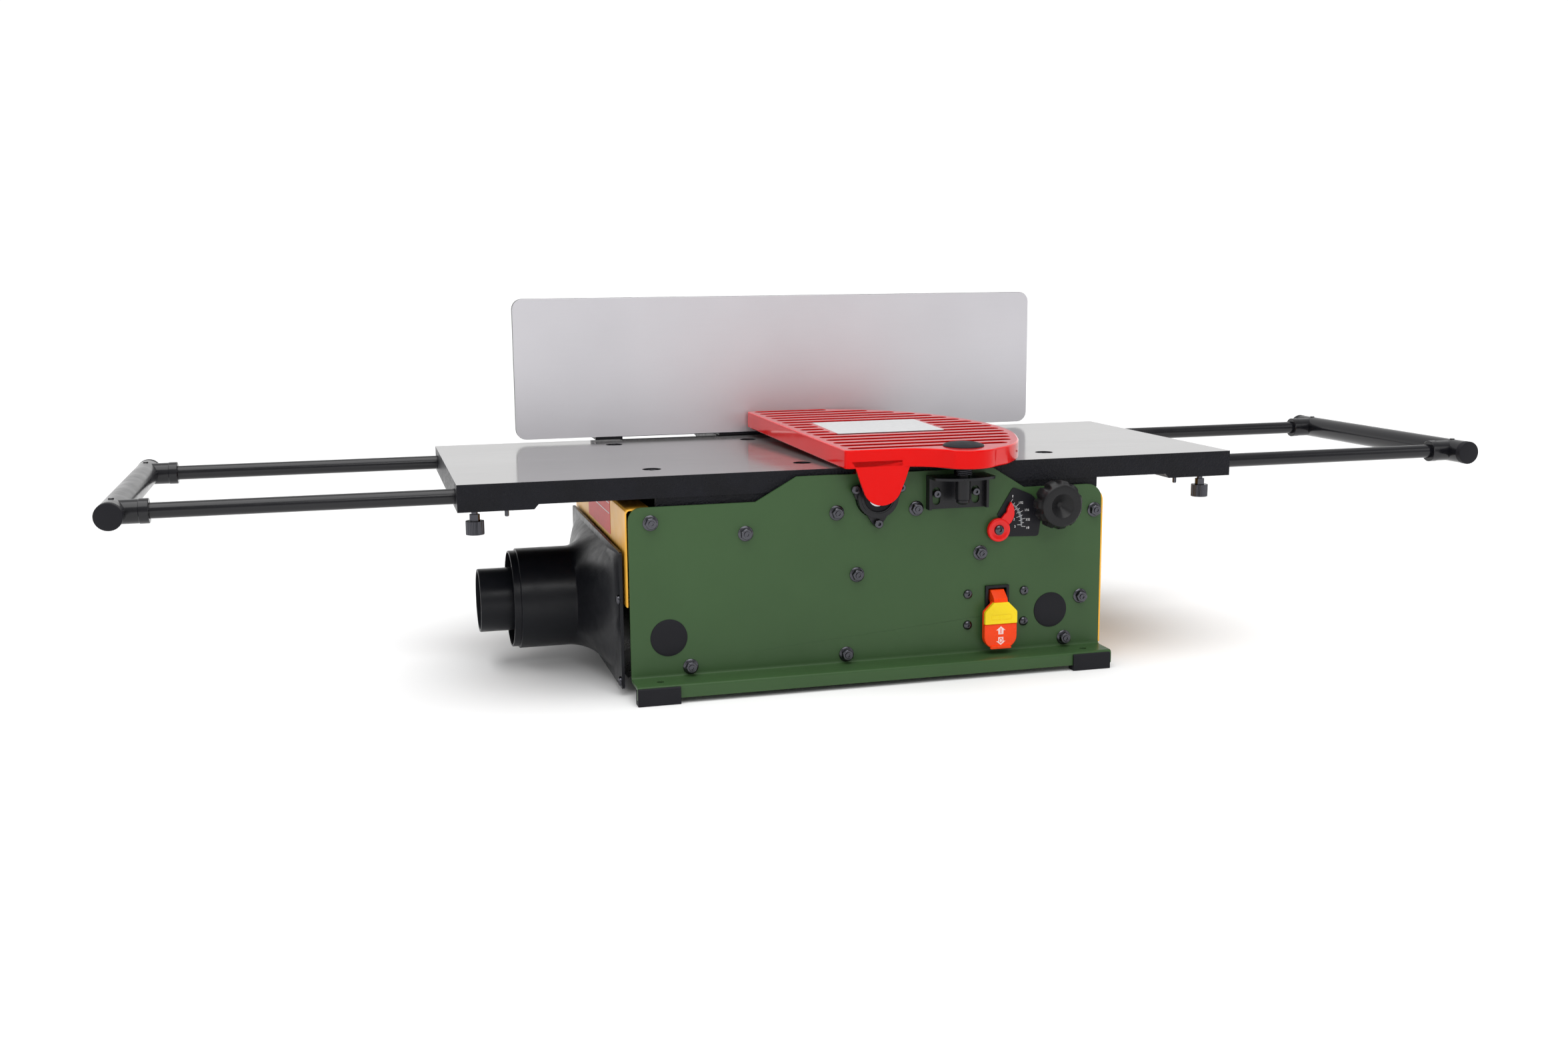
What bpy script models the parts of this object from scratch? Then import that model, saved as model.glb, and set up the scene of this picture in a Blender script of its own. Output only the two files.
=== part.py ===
"""Benchtop jointer: two tables between pressed plates, a helical cutterhead on bearings, a motor and belt
inside, a tilting sliding fence, a sprung pork-chop guard, pull-out stock supports and a dust outlet.

Places are written in millimetres in the tables' own frame: x runs along the tables from their middle, y runs
back from the tables' front edge, z runs up from the table top. FRAME turns them into metres with the origin
on the floor, under the middle of the machine.
"""

import math

import bmesh
import bpy
from mathutils import Matrix, Vector

# Overall layout
TABLE_HEIGHT = 206.5
TABLE_LENGTH = 770.0
TABLE_WIDTH = 312.0
MIDDLE_Y = 206.5  # the middle of the whole machine, back from the tables' front edge
GAP = 0.3  # clearance between touching pieces
FRAME = Matrix.Scale(0.001, 4) @ Matrix.Translation((0.0, -MIDDLE_Y, TABLE_HEIGHT))
FLOOR = -TABLE_HEIGHT

# Tables
TABLE_END = TABLE_LENGTH / 2
TABLE_SKIN = 6.5
TABLE_DEPTH = 20.5
TABLE_END_DEPTH = 25.0
SKIRT = 9.0
WEB = 7.0
OUTFEED_LIP = -15.0
INFEED_LIP = 26.0
BOLT_RECESS_RADIUS = 9.0

# Side plates
SHEET = 3.0
PLATE_FRONT = -4.0  # the front plate's outer face
PLATE_LEFT = -233.3
PLATE_RIGHT = 240.9
FLANGE_TOP = -188.5
FLANGE_REACH = 29.0
LIP_BOTTOM = -201.3
REAR_FACE = TABLE_WIDTH - PLATE_FRONT  # the rear plate's outer face

# Cutterhead and drive
CUTTER_X = 5.5
CUTTER_Z = -27.7
CUTTING_RADIUS = 27.5
JOURNAL_RADIUS = 7.5
MOTOR_X = 120.0
MOTOR_Z = -136.0
MOTOR_RADIUS = 48.0
MOTOR_SHAFT_RADIUS = 5.0
CUTTER_PULLEY_RADIUS = 14.0
MOTOR_PULLEY_RADIUS = 9.0
BELT_THICKNESS = 2.5
BELT_FRONT = 328.5
BELT_BACK = 343.5

# Depth adjustment: eccentric shafts carry the infeed table
DEPTH_OF_CUT = 3.2
LIFT_X = 129.7
OUTER_LIFT_X = 205.0
LIFT_Z = -66.4
LIFT_SHAFT_RADIUS = 5.5
ECCENTRIC_RADIUS = 12.0
LIFT_TURN = math.radians(66.0)
ECCENTRICITY = DEPTH_OF_CUT / 2 / math.sin(LIFT_TURN / 2)
CRANK_LENGTH = 18.0
KNOB_X = 185.0
KNOB_Z = -42.0
KNOB_RADIUS = 24.0
PINION_TEETH = 18
GEAR_TEETH = 36

# Guard
PIVOT_X = 85.0
PIVOT_Y = -25.0
GUARD_TOP = 19.6
GUARD_DEPTH = 17.8
GUARD_TILT = math.radians(1.39)
GUARD_WALL = 3.0
POST_RADIUS = 5.0
CUP_RADIUS = 29.0
CUP_BORE = 22.0

# Fence
FENCE_LEFT = -299.7
FENCE_RIGHT = 296.3
FENCE_FRONT = 301.0
FENCE_THICKNESS = 8.0
FENCE_BOTTOM = 4.2
FENCE_TOP = 155.1
TILT_Y = 316.0
TILT_Z = 12.0
CARRIAGE_BACK = 471.5
TILT_LOCK_REACH = 45.0
TILT_LOCK_ANGLE = math.radians(42)
SLIDE_BOTTOM = 0.8

# Stock supports
ROD_RADIUS = 7.0
ROD_Z = -14.0
FRONT_ROD_Y = 28.0
REAR_ROD_Y = 284.0
ROD_INNER = 318.0
COLLAR_INNER = 642.0
BAR_X = 672.0
BAR_RADIUS = 12.0

# Dust outlet
HOOD_Y = 156.0
HOOD_Z = -138.5
HOOD_RADIUS = 50.0
HOOD_JOIN = -268.0
HOOD_END = -327.0
ADAPTER_RADIUS = 31.5
ADAPTER_END = -358.0

# Switch
SWITCH_X = 129.9
SWITCH_HINGE_Y = -3.0
SWITCH_HINGE_Z = -129.0

COLOURS = {
    "green_paint": ((0.045, 0.092, 0.037), 0.38, 0.0),
    "gold_paint": ((0.708, 0.371, 0.053), 0.35, 0.1),
    "cast_black": ((0.012, 0.012, 0.014), 0.55, 0.0),
    "ground_steel": ((0.55, 0.55, 0.56), 0.22, 1.0),
    "fence_steel": ((0.58, 0.57, 0.60), 0.35, 1.0),
    "guard_red": ((0.75, 0.0, 0.0), 0.22, 0.0),
    "black_plastic": ((0.010, 0.010, 0.012), 0.40, 0.0),
    "black_steel": ((0.014, 0.014, 0.016), 0.35, 0.5),
    "rubber": ((0.014, 0.014, 0.016), 0.70, 0.0),
    "machined_steel": ((0.50, 0.50, 0.52), 0.30, 1.0),
    "aluminium": ((0.62, 0.62, 0.64), 0.35, 1.0),
    "switch_red": ((1.0, 0.09, 0.005), 0.35, 0.0),
    "switch_yellow": ((1.0, 0.83, 0.011), 0.35, 0.0),
}


# ---------------------------------------------------------------- scene and helpers


def clear_scene():
    for old in list(bpy.data.objects):
        bpy.data.objects.remove(old, do_unlink=True)


def new_collection(name):
    collection = bpy.data.collections.new(name)
    bpy.context.scene.collection.children.link(collection)
    return collection


clear_scene()
PARTS = new_collection("jointer")
CUTTERS = new_collection("jointer_cutters")


def material(name):
    """The material of this finish, made on first use."""
    found = bpy.data.materials.get(name)
    if found:
        return found
    colour, roughness, metallic = COLOURS[name]
    made = bpy.data.materials.new(name)
    made.use_nodes = True
    shader = made.node_tree.nodes["Principled BSDF"]
    shader.inputs["Base Color"].default_value = (*colour, 1.0)
    shader.inputs["Roughness"].default_value = roughness
    shader.inputs["Metallic"].default_value = metallic
    return made


def loose(mesh):
    """A mesh in millimetres as a helper object, until it becomes a part or a cutter."""
    mesh.transform(FRAME)
    obj = bpy.data.objects.new("helper", mesh)
    CUTTERS.objects.link(obj)
    obj.hide_render = True
    obj.display_type = "WIRE"
    return obj


def part(name, obj, finish, pivot=(0.0, 0.0, 0.0), sharp=35.0):
    """Makes a helper object a named part of the machine, with its origin at the pivot."""
    CUTTERS.objects.unlink(obj)
    PARTS.objects.link(obj)
    obj.name = name
    obj.data.name = name
    obj.hide_render = False
    obj.display_type = "TEXTURED"
    obj.data.materials.clear()
    obj.data.materials.append(material(finish))
    obj.data.shade_smooth()
    obj.data.set_sharp_from_angle(angle=math.radians(sharp))
    move_origin(obj, FRAME @ Vector(pivot))
    return obj


def move_origin(obj, point):
    shift = point - obj.location
    obj.data.transform(Matrix.Translation(-shift))
    obj.location = point


def boolean(target, operation, others):
    for other in others:
        modifier = target.modifiers.new(operation.lower(), "BOOLEAN")
        modifier.operation = operation
        modifier.solver = "EXACT"
        modifier.object = other
    return target


def cut(target, *others):
    return boolean(target, "DIFFERENCE", others)


def join(target, *others):
    return boolean(target, "UNION", others)


def box(low, high):
    """A block between two opposite corners."""
    low, high = Vector(low), Vector(high)
    shape = bmesh.new()
    size = Matrix.Diagonal((*(high - low), 1.0))
    bmesh.ops.create_cube(shape, size=1.0, matrix=Matrix.Translation((low + high) / 2) @ size)
    return loose(mesh_of(shape))


def mesh_of(shape):
    mesh = bpy.data.meshes.new("helper")
    shape.to_mesh(mesh)
    shape.free()
    return mesh


def cylinder(start, end, radius, segments=24, end_radius=None):
    """A round bar or a cone between two points."""
    start, end = Vector(start), Vector(end)
    along = end - start
    shape = bmesh.new()
    bmesh.ops.create_cone(
        shape,
        cap_ends=True,
        segments=segments,
        radius1=radius,
        radius2=radius if end_radius is None else end_radius,
        depth=along.length,
        matrix=Matrix.Translation((start + end) / 2) @ along.to_track_quat("Z", "Y").to_matrix().to_4x4(),
    )
    return loose(mesh_of(shape))


def baked(obj):
    """The evaluated mesh of an object, welded, and the object removed."""
    mesh = bpy.data.meshes.new_from_object(obj.evaluated_get(bpy.context.evaluated_depsgraph_get()))
    bpy.data.objects.remove(obj, do_unlink=True)
    shape = bmesh.new()
    shape.from_mesh(mesh)
    bmesh.ops.remove_doubles(shape, verts=shape.verts, dist=0.001)
    bmesh.ops.recalc_face_normals(shape, faces=shape.faces)
    shape.to_mesh(mesh)
    shape.free()
    return mesh


# What the first and second numbers of an outline mean, for an extrusion along each axis.
ALONG = {
    "X": Matrix(((0, 0, 1, 0), (1, 0, 0, 0), (0, 1, 0, 0), (0, 0, 0, 1))),
    "Y": Matrix(((1, 0, 0, 0), (0, 0, -1, 0), (0, 1, 0, 0), (0, 0, 0, 1))),
    "Z": Matrix.Identity(4),
}


def prism(axis, low, high, outline, *holes):
    """A flat outline, with holes, extruded. Along X it is (y, z), along Y (x, z), along Z (x, y)."""
    shape = bmesh.new()
    place = ALONG[axis]
    ends = []
    for level in (low, high):
        height = -level if axis == "Y" else level
        ends.append([shape.verts.new(place @ Vector((a, b, height))) for a, b in outline])
    shape.faces.new(ends[0])
    shape.faces.new(ends[1][::-1])
    for i in range(len(outline)):
        j = (i + 1) % len(outline)
        shape.faces.new((ends[0][j], ends[0][i], ends[1][i], ends[1][j]))
    bmesh.ops.recalc_face_normals(shape, faces=shape.faces)
    solid = loose(mesh_of(shape))
    return cut(solid, *(prism(axis, low - 1, high + 1, hole) for hole in holes))


def turned(centre, axis, profile, steps=24):
    """A profile of (radius, distance along the axis), turned about the axis. A ring's profile is closed."""
    on_axis = profile[0][0] == 0 and profile[-1][0] == 0
    mesh = bpy.data.meshes.new("helper")
    count = len(profile)
    edges = [(i, i + 1) for i in range(count - 1)]
    if not on_axis:
        edges.append((count - 1, 0))
    mesh.from_pydata([(r, 0.0, h) for r, h in profile], edges, [])
    lathe = bpy.data.objects.new("helper", mesh)
    CUTTERS.objects.link(lathe)
    screw = lathe.modifiers.new("turn", "SCREW")
    screw.steps = steps
    screw.render_steps = steps
    screw.use_merge_vertices = True
    screw.merge_threshold = 0.0001
    solid = baked(lathe)
    turn = Vector(axis).to_track_quat("Z", "Y").to_matrix().to_4x4()
    solid.transform(Matrix.Translation(centre) @ turn)
    return loose(solid)


def arc(centre, radius, start, end, steps):
    """Points on an arc, in degrees, both ends included."""
    angles = [math.radians(start + (end - start) * i / steps) for i in range(steps + 1)]
    return [(centre[0] + radius * math.cos(a), centre[1] + radius * math.sin(a)) for a in angles]


def circle(centre, radius, steps=24):
    return arc(centre, radius, 0, 360, steps)[:-1]


def slot(first, second, radius, steps=8):
    """A straight slot's outline between two centres."""
    angle = math.degrees(math.atan2(second[1] - first[1], second[0] - first[0]))
    far = arc(second, radius, angle - 90, angle + 90, steps)
    return far + arc(first, radius, angle + 90, angle + 270, steps)


def belt_path(first, first_radius, second, second_radius, steps=12):
    """The outline of a band pulled round two circles."""
    dx, dy = second[0] - first[0], second[1] - first[1]
    along = math.degrees(math.atan2(dy, dx))
    spread = math.degrees(math.acos((first_radius - second_radius) / math.hypot(dx, dy)))
    far = arc(second, second_radius, along - spread, along + spread, steps)
    return far + arc(first, first_radius, along + spread, along + 360 - spread, steps)


def rounded(points, radius, steps=4):
    """A polygon with its corners rounded. A radius may be given for each corner."""
    radii = radius if isinstance(radius, (list, tuple)) else [radius] * len(points)
    result = []
    for i, corner in enumerate(points):
        corner = Vector(corner)
        before = (Vector(points[i - 1]) - corner).normalized()
        after = (Vector(points[(i + 1) % len(points)]) - corner).normalized()
        if radii[i] == 0:
            result.append(tuple(corner))
            continue
        half = before.angle(after) / 2
        reach = radii[i] / math.tan(half)
        centre = corner + (before + after).normalized() * radii[i] / math.sin(half)
        first, last = corner + before * reach - centre, corner + after * reach - centre
        turn = first.angle_signed(last)
        for k in range(steps + 1):
            angle = -turn * k / steps
            c, s = math.cos(angle), math.sin(angle)
            result.append((centre[0] + c * first[0] - s * first[1], centre[1] + s * first[0] + c * first[1]))
    return result


def rectangle(left, bottom, right, top):
    return [(left, bottom), (right, bottom), (right, top), (left, top)]


def pivot_empty(name, point, children):
    """An empty on a joint's axis, with the pieces that turn or slide together under it."""
    empty = bpy.data.objects.new(name, None)
    empty.empty_display_size = 0.02
    empty.location = FRAME @ Vector(point)
    PARTS.objects.link(empty)
    for child in children:
        child.parent = empty
        child.matrix_parent_inverse = Matrix.Translation(-empty.location)
    return empty


def mirrored(y):
    """The same distance from the rear edge as y is from the front edge."""
    return TABLE_WIDTH - y


# ---------------------------------------------------------------- tables


def table_side(lip, end, side):
    """A table's long section: a thin undercut lip at the cutterhead and a deeper block at the outer end."""
    step = end - side * 68
    return [
        (lip, 0.0),
        (lip, -4.0),
        (lip + side * 23, -TABLE_DEPTH),
        (step - side * 4, -TABLE_DEPTH),
        (step, -TABLE_END_DEPTH),
        (end, -TABLE_END_DEPTH),
        (end, 0.0),
    ]


def table(lip, side, web_outline, recess_xs):
    """One table: skin, skirts, ribs and side webs in one casting, bored for the support rods."""
    end = side * TABLE_END
    body = prism("Y", 0, TABLE_WIDTH, table_side(lip, end, side))
    pocket_edges = [lip + side * reach for reach in (27, 109, 117, 199, 207)] + [end - side * 74]
    rows = [(SKIRT, 103.0), (109.0, 203.0), (209.0, mirrored(SKIRT))]
    for k in (0, 2, 4):
        for near, far in rows:
            a, b = sorted((pocket_edges[k], pocket_edges[k + 1]))
            cut(body, box((a, near, -40), (b, far, -TABLE_SKIN)))
    for y in (1.4, mirrored(1.4 + WEB)):
        join(body, prism("Y", y, y + WEB, web_outline))
    for y in (FRONT_ROD_Y, REAR_ROD_Y):
        cut(body, cylinder((end + side * 5, y, ROD_Z), (lip + side * 40, y, ROD_Z), ROD_RADIUS + 0.4))
    lock_x = side * 368
    cut(body, cylinder((lock_x, FRONT_ROD_Y, -40), (lock_x, FRONT_ROD_Y, ROD_Z), 3.3, 12))
    for x in recess_xs:
        for y in (50.0, mirrored(50.0)):
            cut(body, cylinder((x, y, -3.0), (x, y, 5.0), BOLT_RECESS_RADIUS))
    return body


def tables():
    web = [(-206, -15), (-206, -62), (-30, -62), (-30, -30), (-38, -15)]
    part("outfeed_table", table(OUTFEED_LIP, -1, web, (-200, -52)), "cast_black")

    hole_x = ECCENTRICITY * math.cos(LIFT_TURN / 2) + 0.25
    hole_z = LIFT_Z + ECCENTRICITY * math.sin(LIFT_TURN / 2)
    web = [(49, -15), (49, -30)]
    for x, near, far in ((LIFT_X + hole_x, -30, -32), (OUTER_LIFT_X + hole_x, -32, -32)):
        web += [(x - 18, near)] + arc((x, hole_z), 16, 180, 360, 10) + [(x + 18, far)]
    web += [(238, -30), (238, -15)]
    infeed = table(INFEED_LIP, 1, web, (63, 203))
    for x in (LIFT_X + hole_x, OUTER_LIFT_X + hole_x):
        for y in (-2.0, mirrored(12.0)):
            cut(infeed, cylinder((x, y, hole_z), (x, y + 14, hole_z), ECCENTRIC_RADIUS + 0.6, 32))
    part("infeed_table", infeed, "cast_black")


# ---------------------------------------------------------------- body


def plate_sheet(outward):
    """A side plate's bent sheet, as an open surface that is thickened inward: wall, foot flange and lip."""
    face = PLATE_FRONT if outward < 0 else REAR_FACE
    reach = face + outward * FLANGE_REACH
    bend = 3.0
    halfway, full = math.pi / 4, math.pi / 2
    section = [(face, 0.0), (face, FLANGE_TOP + bend)]
    for a in (halfway, full):
        section.append((face + outward * bend * (1 - math.cos(a)), FLANGE_TOP + bend * (1 - math.sin(a))))
    section.append((reach - outward * bend, FLANGE_TOP))
    for a in (halfway, full):
        section.append((reach - outward * bend * (1 - math.sin(a)), FLANGE_TOP - bend * (1 - math.cos(a))))
    section += [(reach, LIP_BOTTOM)]
    shape = bmesh.new()
    rows = [[shape.verts.new((x, y, z)) for y, z in section] for x in (PLATE_LEFT, PLATE_RIGHT)]
    for i in range(len(section) - 1):
        corners = (rows[0][i], rows[0][i + 1], rows[1][i + 1], rows[1][i])
        shape.faces.new(corners if outward < 0 else corners[::-1])
    sheet = loose(mesh_of(shape))
    thick = sheet.modifiers.new("thickness", "SOLIDIFY")
    thick.thickness = SHEET * 0.001
    thick.offset = -1.0
    thick.use_even_offset = True
    return sheet


def plate_top():
    """What is cut away above a side plate: it is high beside the cutterhead and low at both ends."""
    low_left, high, low_right = -27.9, -5.8, -26.4
    left = [(PLATE_LEFT - 9, -55), (PLATE_LEFT, -55)] + arc((PLATE_LEFT + 12, low_left - 12), 12, 180, 90, 5)
    middle = [(-113, low_left), (-73, high), (125, high), (158, low_right)]
    right = arc((PLATE_RIGHT - 15, low_right - 15), 15, 90, 0, 5)
    right += [(PLATE_RIGHT, -55), (PLATE_RIGHT + 9, -55)]
    return left + middle + right + [(PLATE_RIGHT + 9, 9), (PLATE_LEFT - 9, 9)]


TIE_RODS = ((-177.4, -180.0), (202.8, -179.6))
PLUGS = {"left_plug": (-197.5, -151.2), "right_plug": (187.6, -150.4)}


def side_plates():
    front = plate_sheet(-1)
    deep = (PLATE_FRONT - 10, PLATE_FRONT + 10)
    cut(front, prism("Y", *deep, plate_top()))
    cut(front, prism("Y", *deep, circle((CUTTER_X, CUTTER_Z), 21.0, 32)))
    for x, z, radius in ((LIFT_X, LIFT_Z, LIFT_SHAFT_RADIUS + 0.4), (KNOB_X, KNOB_Z, 5.5)):
        cut(front, cylinder((x, deep[0], z), (x, deep[1], z), radius))
    for x, z in PLUGS.values():
        cut(front, cylinder((x, deep[0], z), (x, deep[1], z), 15.0))
    for x, z in TIE_RODS:
        cut(front, cylinder((x, deep[0], z), (x, deep[1], z), 4.6, 16))
    cut(front, box((SWITCH_X - 11, deep[0], -150), (SWITCH_X + 11, deep[1], -123)))

    rear = plate_sheet(1)
    deep = (REAR_FACE - 10, REAR_FACE + 10)
    cut(rear, prism("Y", *deep, plate_top()))
    for x, z, radius in (
        (CUTTER_X, CUTTER_Z, 10.0),
        (LIFT_X, LIFT_Z, LIFT_SHAFT_RADIUS + 0.4),
        (OUTER_LIFT_X, LIFT_Z, LIFT_SHAFT_RADIUS + 0.4),
        (MOTOR_X, MOTOR_Z, 8.0),
        (-150.0, -150.0, 7.0),
    ):
        cut(rear, cylinder((x, deep[0], z), (x, deep[1], z), radius))
    for x, z in TIE_RODS:
        cut(rear, cylinder((x, deep[0], z), (x, deep[1], z), 4.6, 16))

    for plate, outward in ((front, -1), (rear, 1)):
        face = PLATE_FRONT if outward < 0 else REAR_FACE
        y = face + outward * 15
        for x in (PLATE_LEFT + 24, PLATE_RIGHT - 24):
            cut(plate, cylinder((x, y, FLANGE_TOP - 9), (x, y, FLANGE_TOP + 9), 3.5, 16))
    part("front_side_plate", front, "green_paint")
    part("rear_side_plate", rear, "green_paint")


def end_covers():
    """Bent sheet covers that close the ends under the tables."""
    left = PLATE_LEFT - 2.2
    bend = (left + 4.5, -34)
    outline = [(left, -121), (left, -34)] + arc(bend, 4.5, 180, 90, 3)
    outline += [(left + 24, -29.5), (left + 24, -31)] + arc(bend, 3.0, 90, 180, 3) + [(left + 1.5, -121)]
    part("left_end_cover", prism("Y", 0.0, TABLE_WIDTH, outline), "gold_paint")

    right = PLATE_RIGHT + GAP
    outline = rounded(rectangle(PLATE_FRONT + 1, -187, REAR_FACE - 1, -36), [0, 0, 8, 8])
    part("right_end_cover", prism("X", right, right + 1.8, outline), "gold_paint")


def feet():
    """A moulded channel cap on each end of both lips."""
    spans = {"left": (PLATE_LEFT, PLATE_LEFT + 40), "right": (PLATE_RIGHT - 41.5, PLATE_RIGHT - 2)}
    for end, (left, right) in spans.items():
        for row, outward in (("front", -1), ("rear", 1)):
            face = (PLATE_FRONT if outward < 0 else REAR_FACE) + outward * FLANGE_REACH
            outside, inside = face + outward * 2.6, face - outward * 9
            wall, lip = face + outward * GAP, face - outward * (SHEET + GAP)
            profile = [
                (outside, FLOOR),
                (outside, -192),
                (outside - outward * 1.0, -190),
                (wall, -190),
                (wall, LIP_BOTTOM - GAP),
                (lip, LIP_BOTTOM - GAP),
                (lip, -193),
                (inside, -193),
                (inside, FLOOR),
            ]
            part(f"{row}_{end}_foot", prism("X", left, right, profile), "rubber")


def tie_rods():
    """Threaded rods between the side plates, each with a flange nut at both ends."""
    for i, (x, z) in enumerate(TIE_RODS):
        rod = cylinder((x, PLATE_FRONT - 7.5, z), (x, REAR_FACE + 7.5, z), 4.0, 16)
        for face, outward in ((PLATE_FRONT, -1), (REAR_FACE, 1)):
            near, far = face + outward * 0.7, face + outward * 2.2
            join(rod, cylinder((x, near, z), (x, far, z), 7.0, 20))
            join(rod, cylinder((x, far - outward * 0.5, z), (x, far + outward * 4.5, z), 6.4, 6))
        part(("left_tie_rod", "right_tie_rod")[i], rod, "black_steel")


def plugs():
    for name, (x, z) in PLUGS.items():
        profile = [(0, 1.6), (12, 1.5), (16.5, 1.0), (17.5, GAP), (14.7, GAP), (14.7, -5), (12.5, -5)]
        profile += [(12.5, -1), (0, -1)]
        part(name, turned((x, PLATE_FRONT, z), (0, -1, 0), profile), "rubber")


def cord_gland():
    profile = [(9.5, GAP), (9.5, 5), (7.5, 12), (4.2, 12), (4.2, -5), (6.6, -5), (6.6, GAP)]
    part("cord_gland", turned((-150, REAR_FACE, -150), (0, 1, 0), profile), "black_plastic")


# ---------------------------------------------------------------- cutterhead and drive


def cutterhead():
    axis = (CUTTER_X, 0.0, CUTTER_Z)
    profile = [
        (0, 349),
        (JOURNAL_RADIUS - 0.3, 349),
        (JOURNAL_RADIUS - 0.3, 302),
        (CUTTING_RADIUS, 302),
        (CUTTING_RADIUS, 9),
        (JOURNAL_RADIUS - 0.3, 9),
        (JOURNAL_RADIUS - 0.3, -8),
        (0, -8),
    ]
    part("cutterhead", turned(axis, (0, 1, 0), profile, 32), "machined_steel", axis)

    ring = [(17.5, -8.7), (17.5, 2.7), (JOURNAL_RADIUS, 2.7), (JOURNAL_RADIUS, -8.7)]
    part("front_bearing", turned(axis, (0, 1, 0), ring), "machined_steel", axis)
    ring = [(16.0, 304.3), (16.0, 310.4), (JOURNAL_RADIUS, 310.4), (JOURNAL_RADIUS, 304.3)]
    part("rear_bearing", turned(axis, (0, 1, 0), ring), "machined_steel", axis)

    corners = [(CUTTER_X - 31, -15), (CUTTER_X + 31, -15), (CUTTER_X, -61)]
    plate = rounded(corners[::-1], [5, 8, 8], 4)
    flange = prism("Y", PLATE_FRONT - 4.3, PLATE_FRONT - GAP, plate)
    cup = [(20.5, -11), (20.5, 4), (17.8, 4), (17.8, -9), (14.5, -9), (14.5, -11)]
    join(flange, turned(axis, (0, 1, 0), cup, 32))
    cut(flange, cylinder((CUTTER_X, -20, CUTTER_Z), (CUTTER_X, 20, CUTTER_Z), 14.4, 32))
    cut(flange, cylinder((CUTTER_X, -9, CUTTER_Z), (CUTTER_X, 20, CUTTER_Z), 17.8, 32))
    part("front_bearing_flange", flange, "black_steel", axis)
    cup = [(24, 304), (24, 312.7), (12, 312.7), (12, 310.7), (16.3, 310.7), (16.3, 304)]
    part("rear_bearing_flange", turned(axis, (0, 1, 0), cup, 32), "black_steel", axis)


def pulley(name, x, z, radius, bore):
    edge = radius + 1.5
    near, far = BELT_FRONT - GAP, BELT_BACK + GAP
    profile = [(edge, far + 1.7), (edge, far), (radius, far)]
    profile += [(radius, near), (edge, near), (edge, near - 1.7)]
    profile = profile[::-1] + [(bore, far + 1.7), (bore, near - 1.7)]
    part(name, turned((x, 0, z), (0, 1, 0), profile), "aluminium", (x, 0, z))


def drive():
    pulley("cutterhead_pulley", CUTTER_X, CUTTER_Z, CUTTER_PULLEY_RADIUS, JOURNAL_RADIUS)
    pulley("motor_pulley", MOTOR_X, MOTOR_Z, MOTOR_PULLEY_RADIUS, MOTOR_SHAFT_RADIUS + GAP)

    ends = ((CUTTER_X, CUTTER_Z), (MOTOR_X, MOTOR_Z))
    radii = (CUTTER_PULLEY_RADIUS + GAP, MOTOR_PULLEY_RADIUS + GAP)
    inside = belt_path(ends[0], radii[0], ends[1], radii[1])
    outside = belt_path(ends[0], radii[0] + BELT_THICKNESS, ends[1], radii[1] + BELT_THICKNESS)
    part("drive_belt", prism("Y", BELT_FRONT, BELT_BACK, outside, inside), "rubber")

    room = belt_path(ends[0], 19.5, ends[1], 16.0, 10)
    shell = belt_path(ends[0], 21.5, ends[1], 18.0, 10)
    cover = prism("Y", REAR_FACE + GAP, 356, shell)
    cut(cover, prism("Y", REAR_FACE - 9, 353.5, room))
    part("belt_cover", cover, "black_plastic")

    axis = (MOTOR_X, 0, MOTOR_Z)
    outer, wall = MOTOR_RADIUS, 3.0
    bore = MOTOR_SHAFT_RADIUS + 3
    profile = [
        (bore, 118),
        (outer - 8, 118),
        (outer, 126),
        (outer, 312.7),
        (bore, 312.7),
        (bore, 309),
        (outer - wall, 309),
        (outer - wall, 127),
        (outer - 9, 121),
        (bore, 121),
    ]
    part("motor_housing", turned(axis, (0, 1, 0), profile, 32), "aluminium", axis)
    profile = [(0, 348), (5, 348), (5, 290), (26, 288), (26, 170), (5, 168), (5, 150), (36, 148)]
    profile += [(36, 138), (5, 136), (5, 112), (0, 112)]
    part("motor_rotor", turned(axis, (0, 1, 0), profile), "machined_steel", axis)


def chip_chute():
    """A folded sheet below the cutterhead that sends the chips out to the left."""
    top = [(46, -38), (40, -58), (8, -70), (-60, -100), (-234, -190)]
    under = [(x, z - 1.8) for x, z in reversed(top)]
    under[-1] = (47.8, -38)
    part("chip_chute", prism("Y", 13, 299, top + under), "black_steel")


# ---------------------------------------------------------------- depth adjustment


def involute_gear(teeth, module, first_angle, count=None, backlash=0.25):
    """A spur gear's outline with involute flanks, as (radius, angle). With a count, only that many teeth."""
    pitch = teeth * module / 2
    base = pitch * math.cos(math.radians(20))
    tip, root = pitch + 0.8 * module, pitch - 1.05 * module
    half = math.pi / 2 / teeth - backlash / 2 / pitch

    def flank(radius):
        """Half the tooth's angle at this radius."""
        if radius <= base:
            return half + math.tan(math.radians(20)) - math.radians(20)
        roll = math.acos(base / radius)
        pitch_roll = math.radians(20)
        return half + (math.tan(pitch_roll) - pitch_roll) - (math.tan(roll) - roll)

    radii = [root, max(base, root + 0.1), pitch, tip]
    points = []
    for k in range(count or teeth):
        middle = first_angle + 2 * math.pi * k / teeth
        for r in radii:
            points.append((r, middle - flank(r)))
        for r in reversed(radii):
            points.append((r, middle + flank(r)))
    return points


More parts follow.
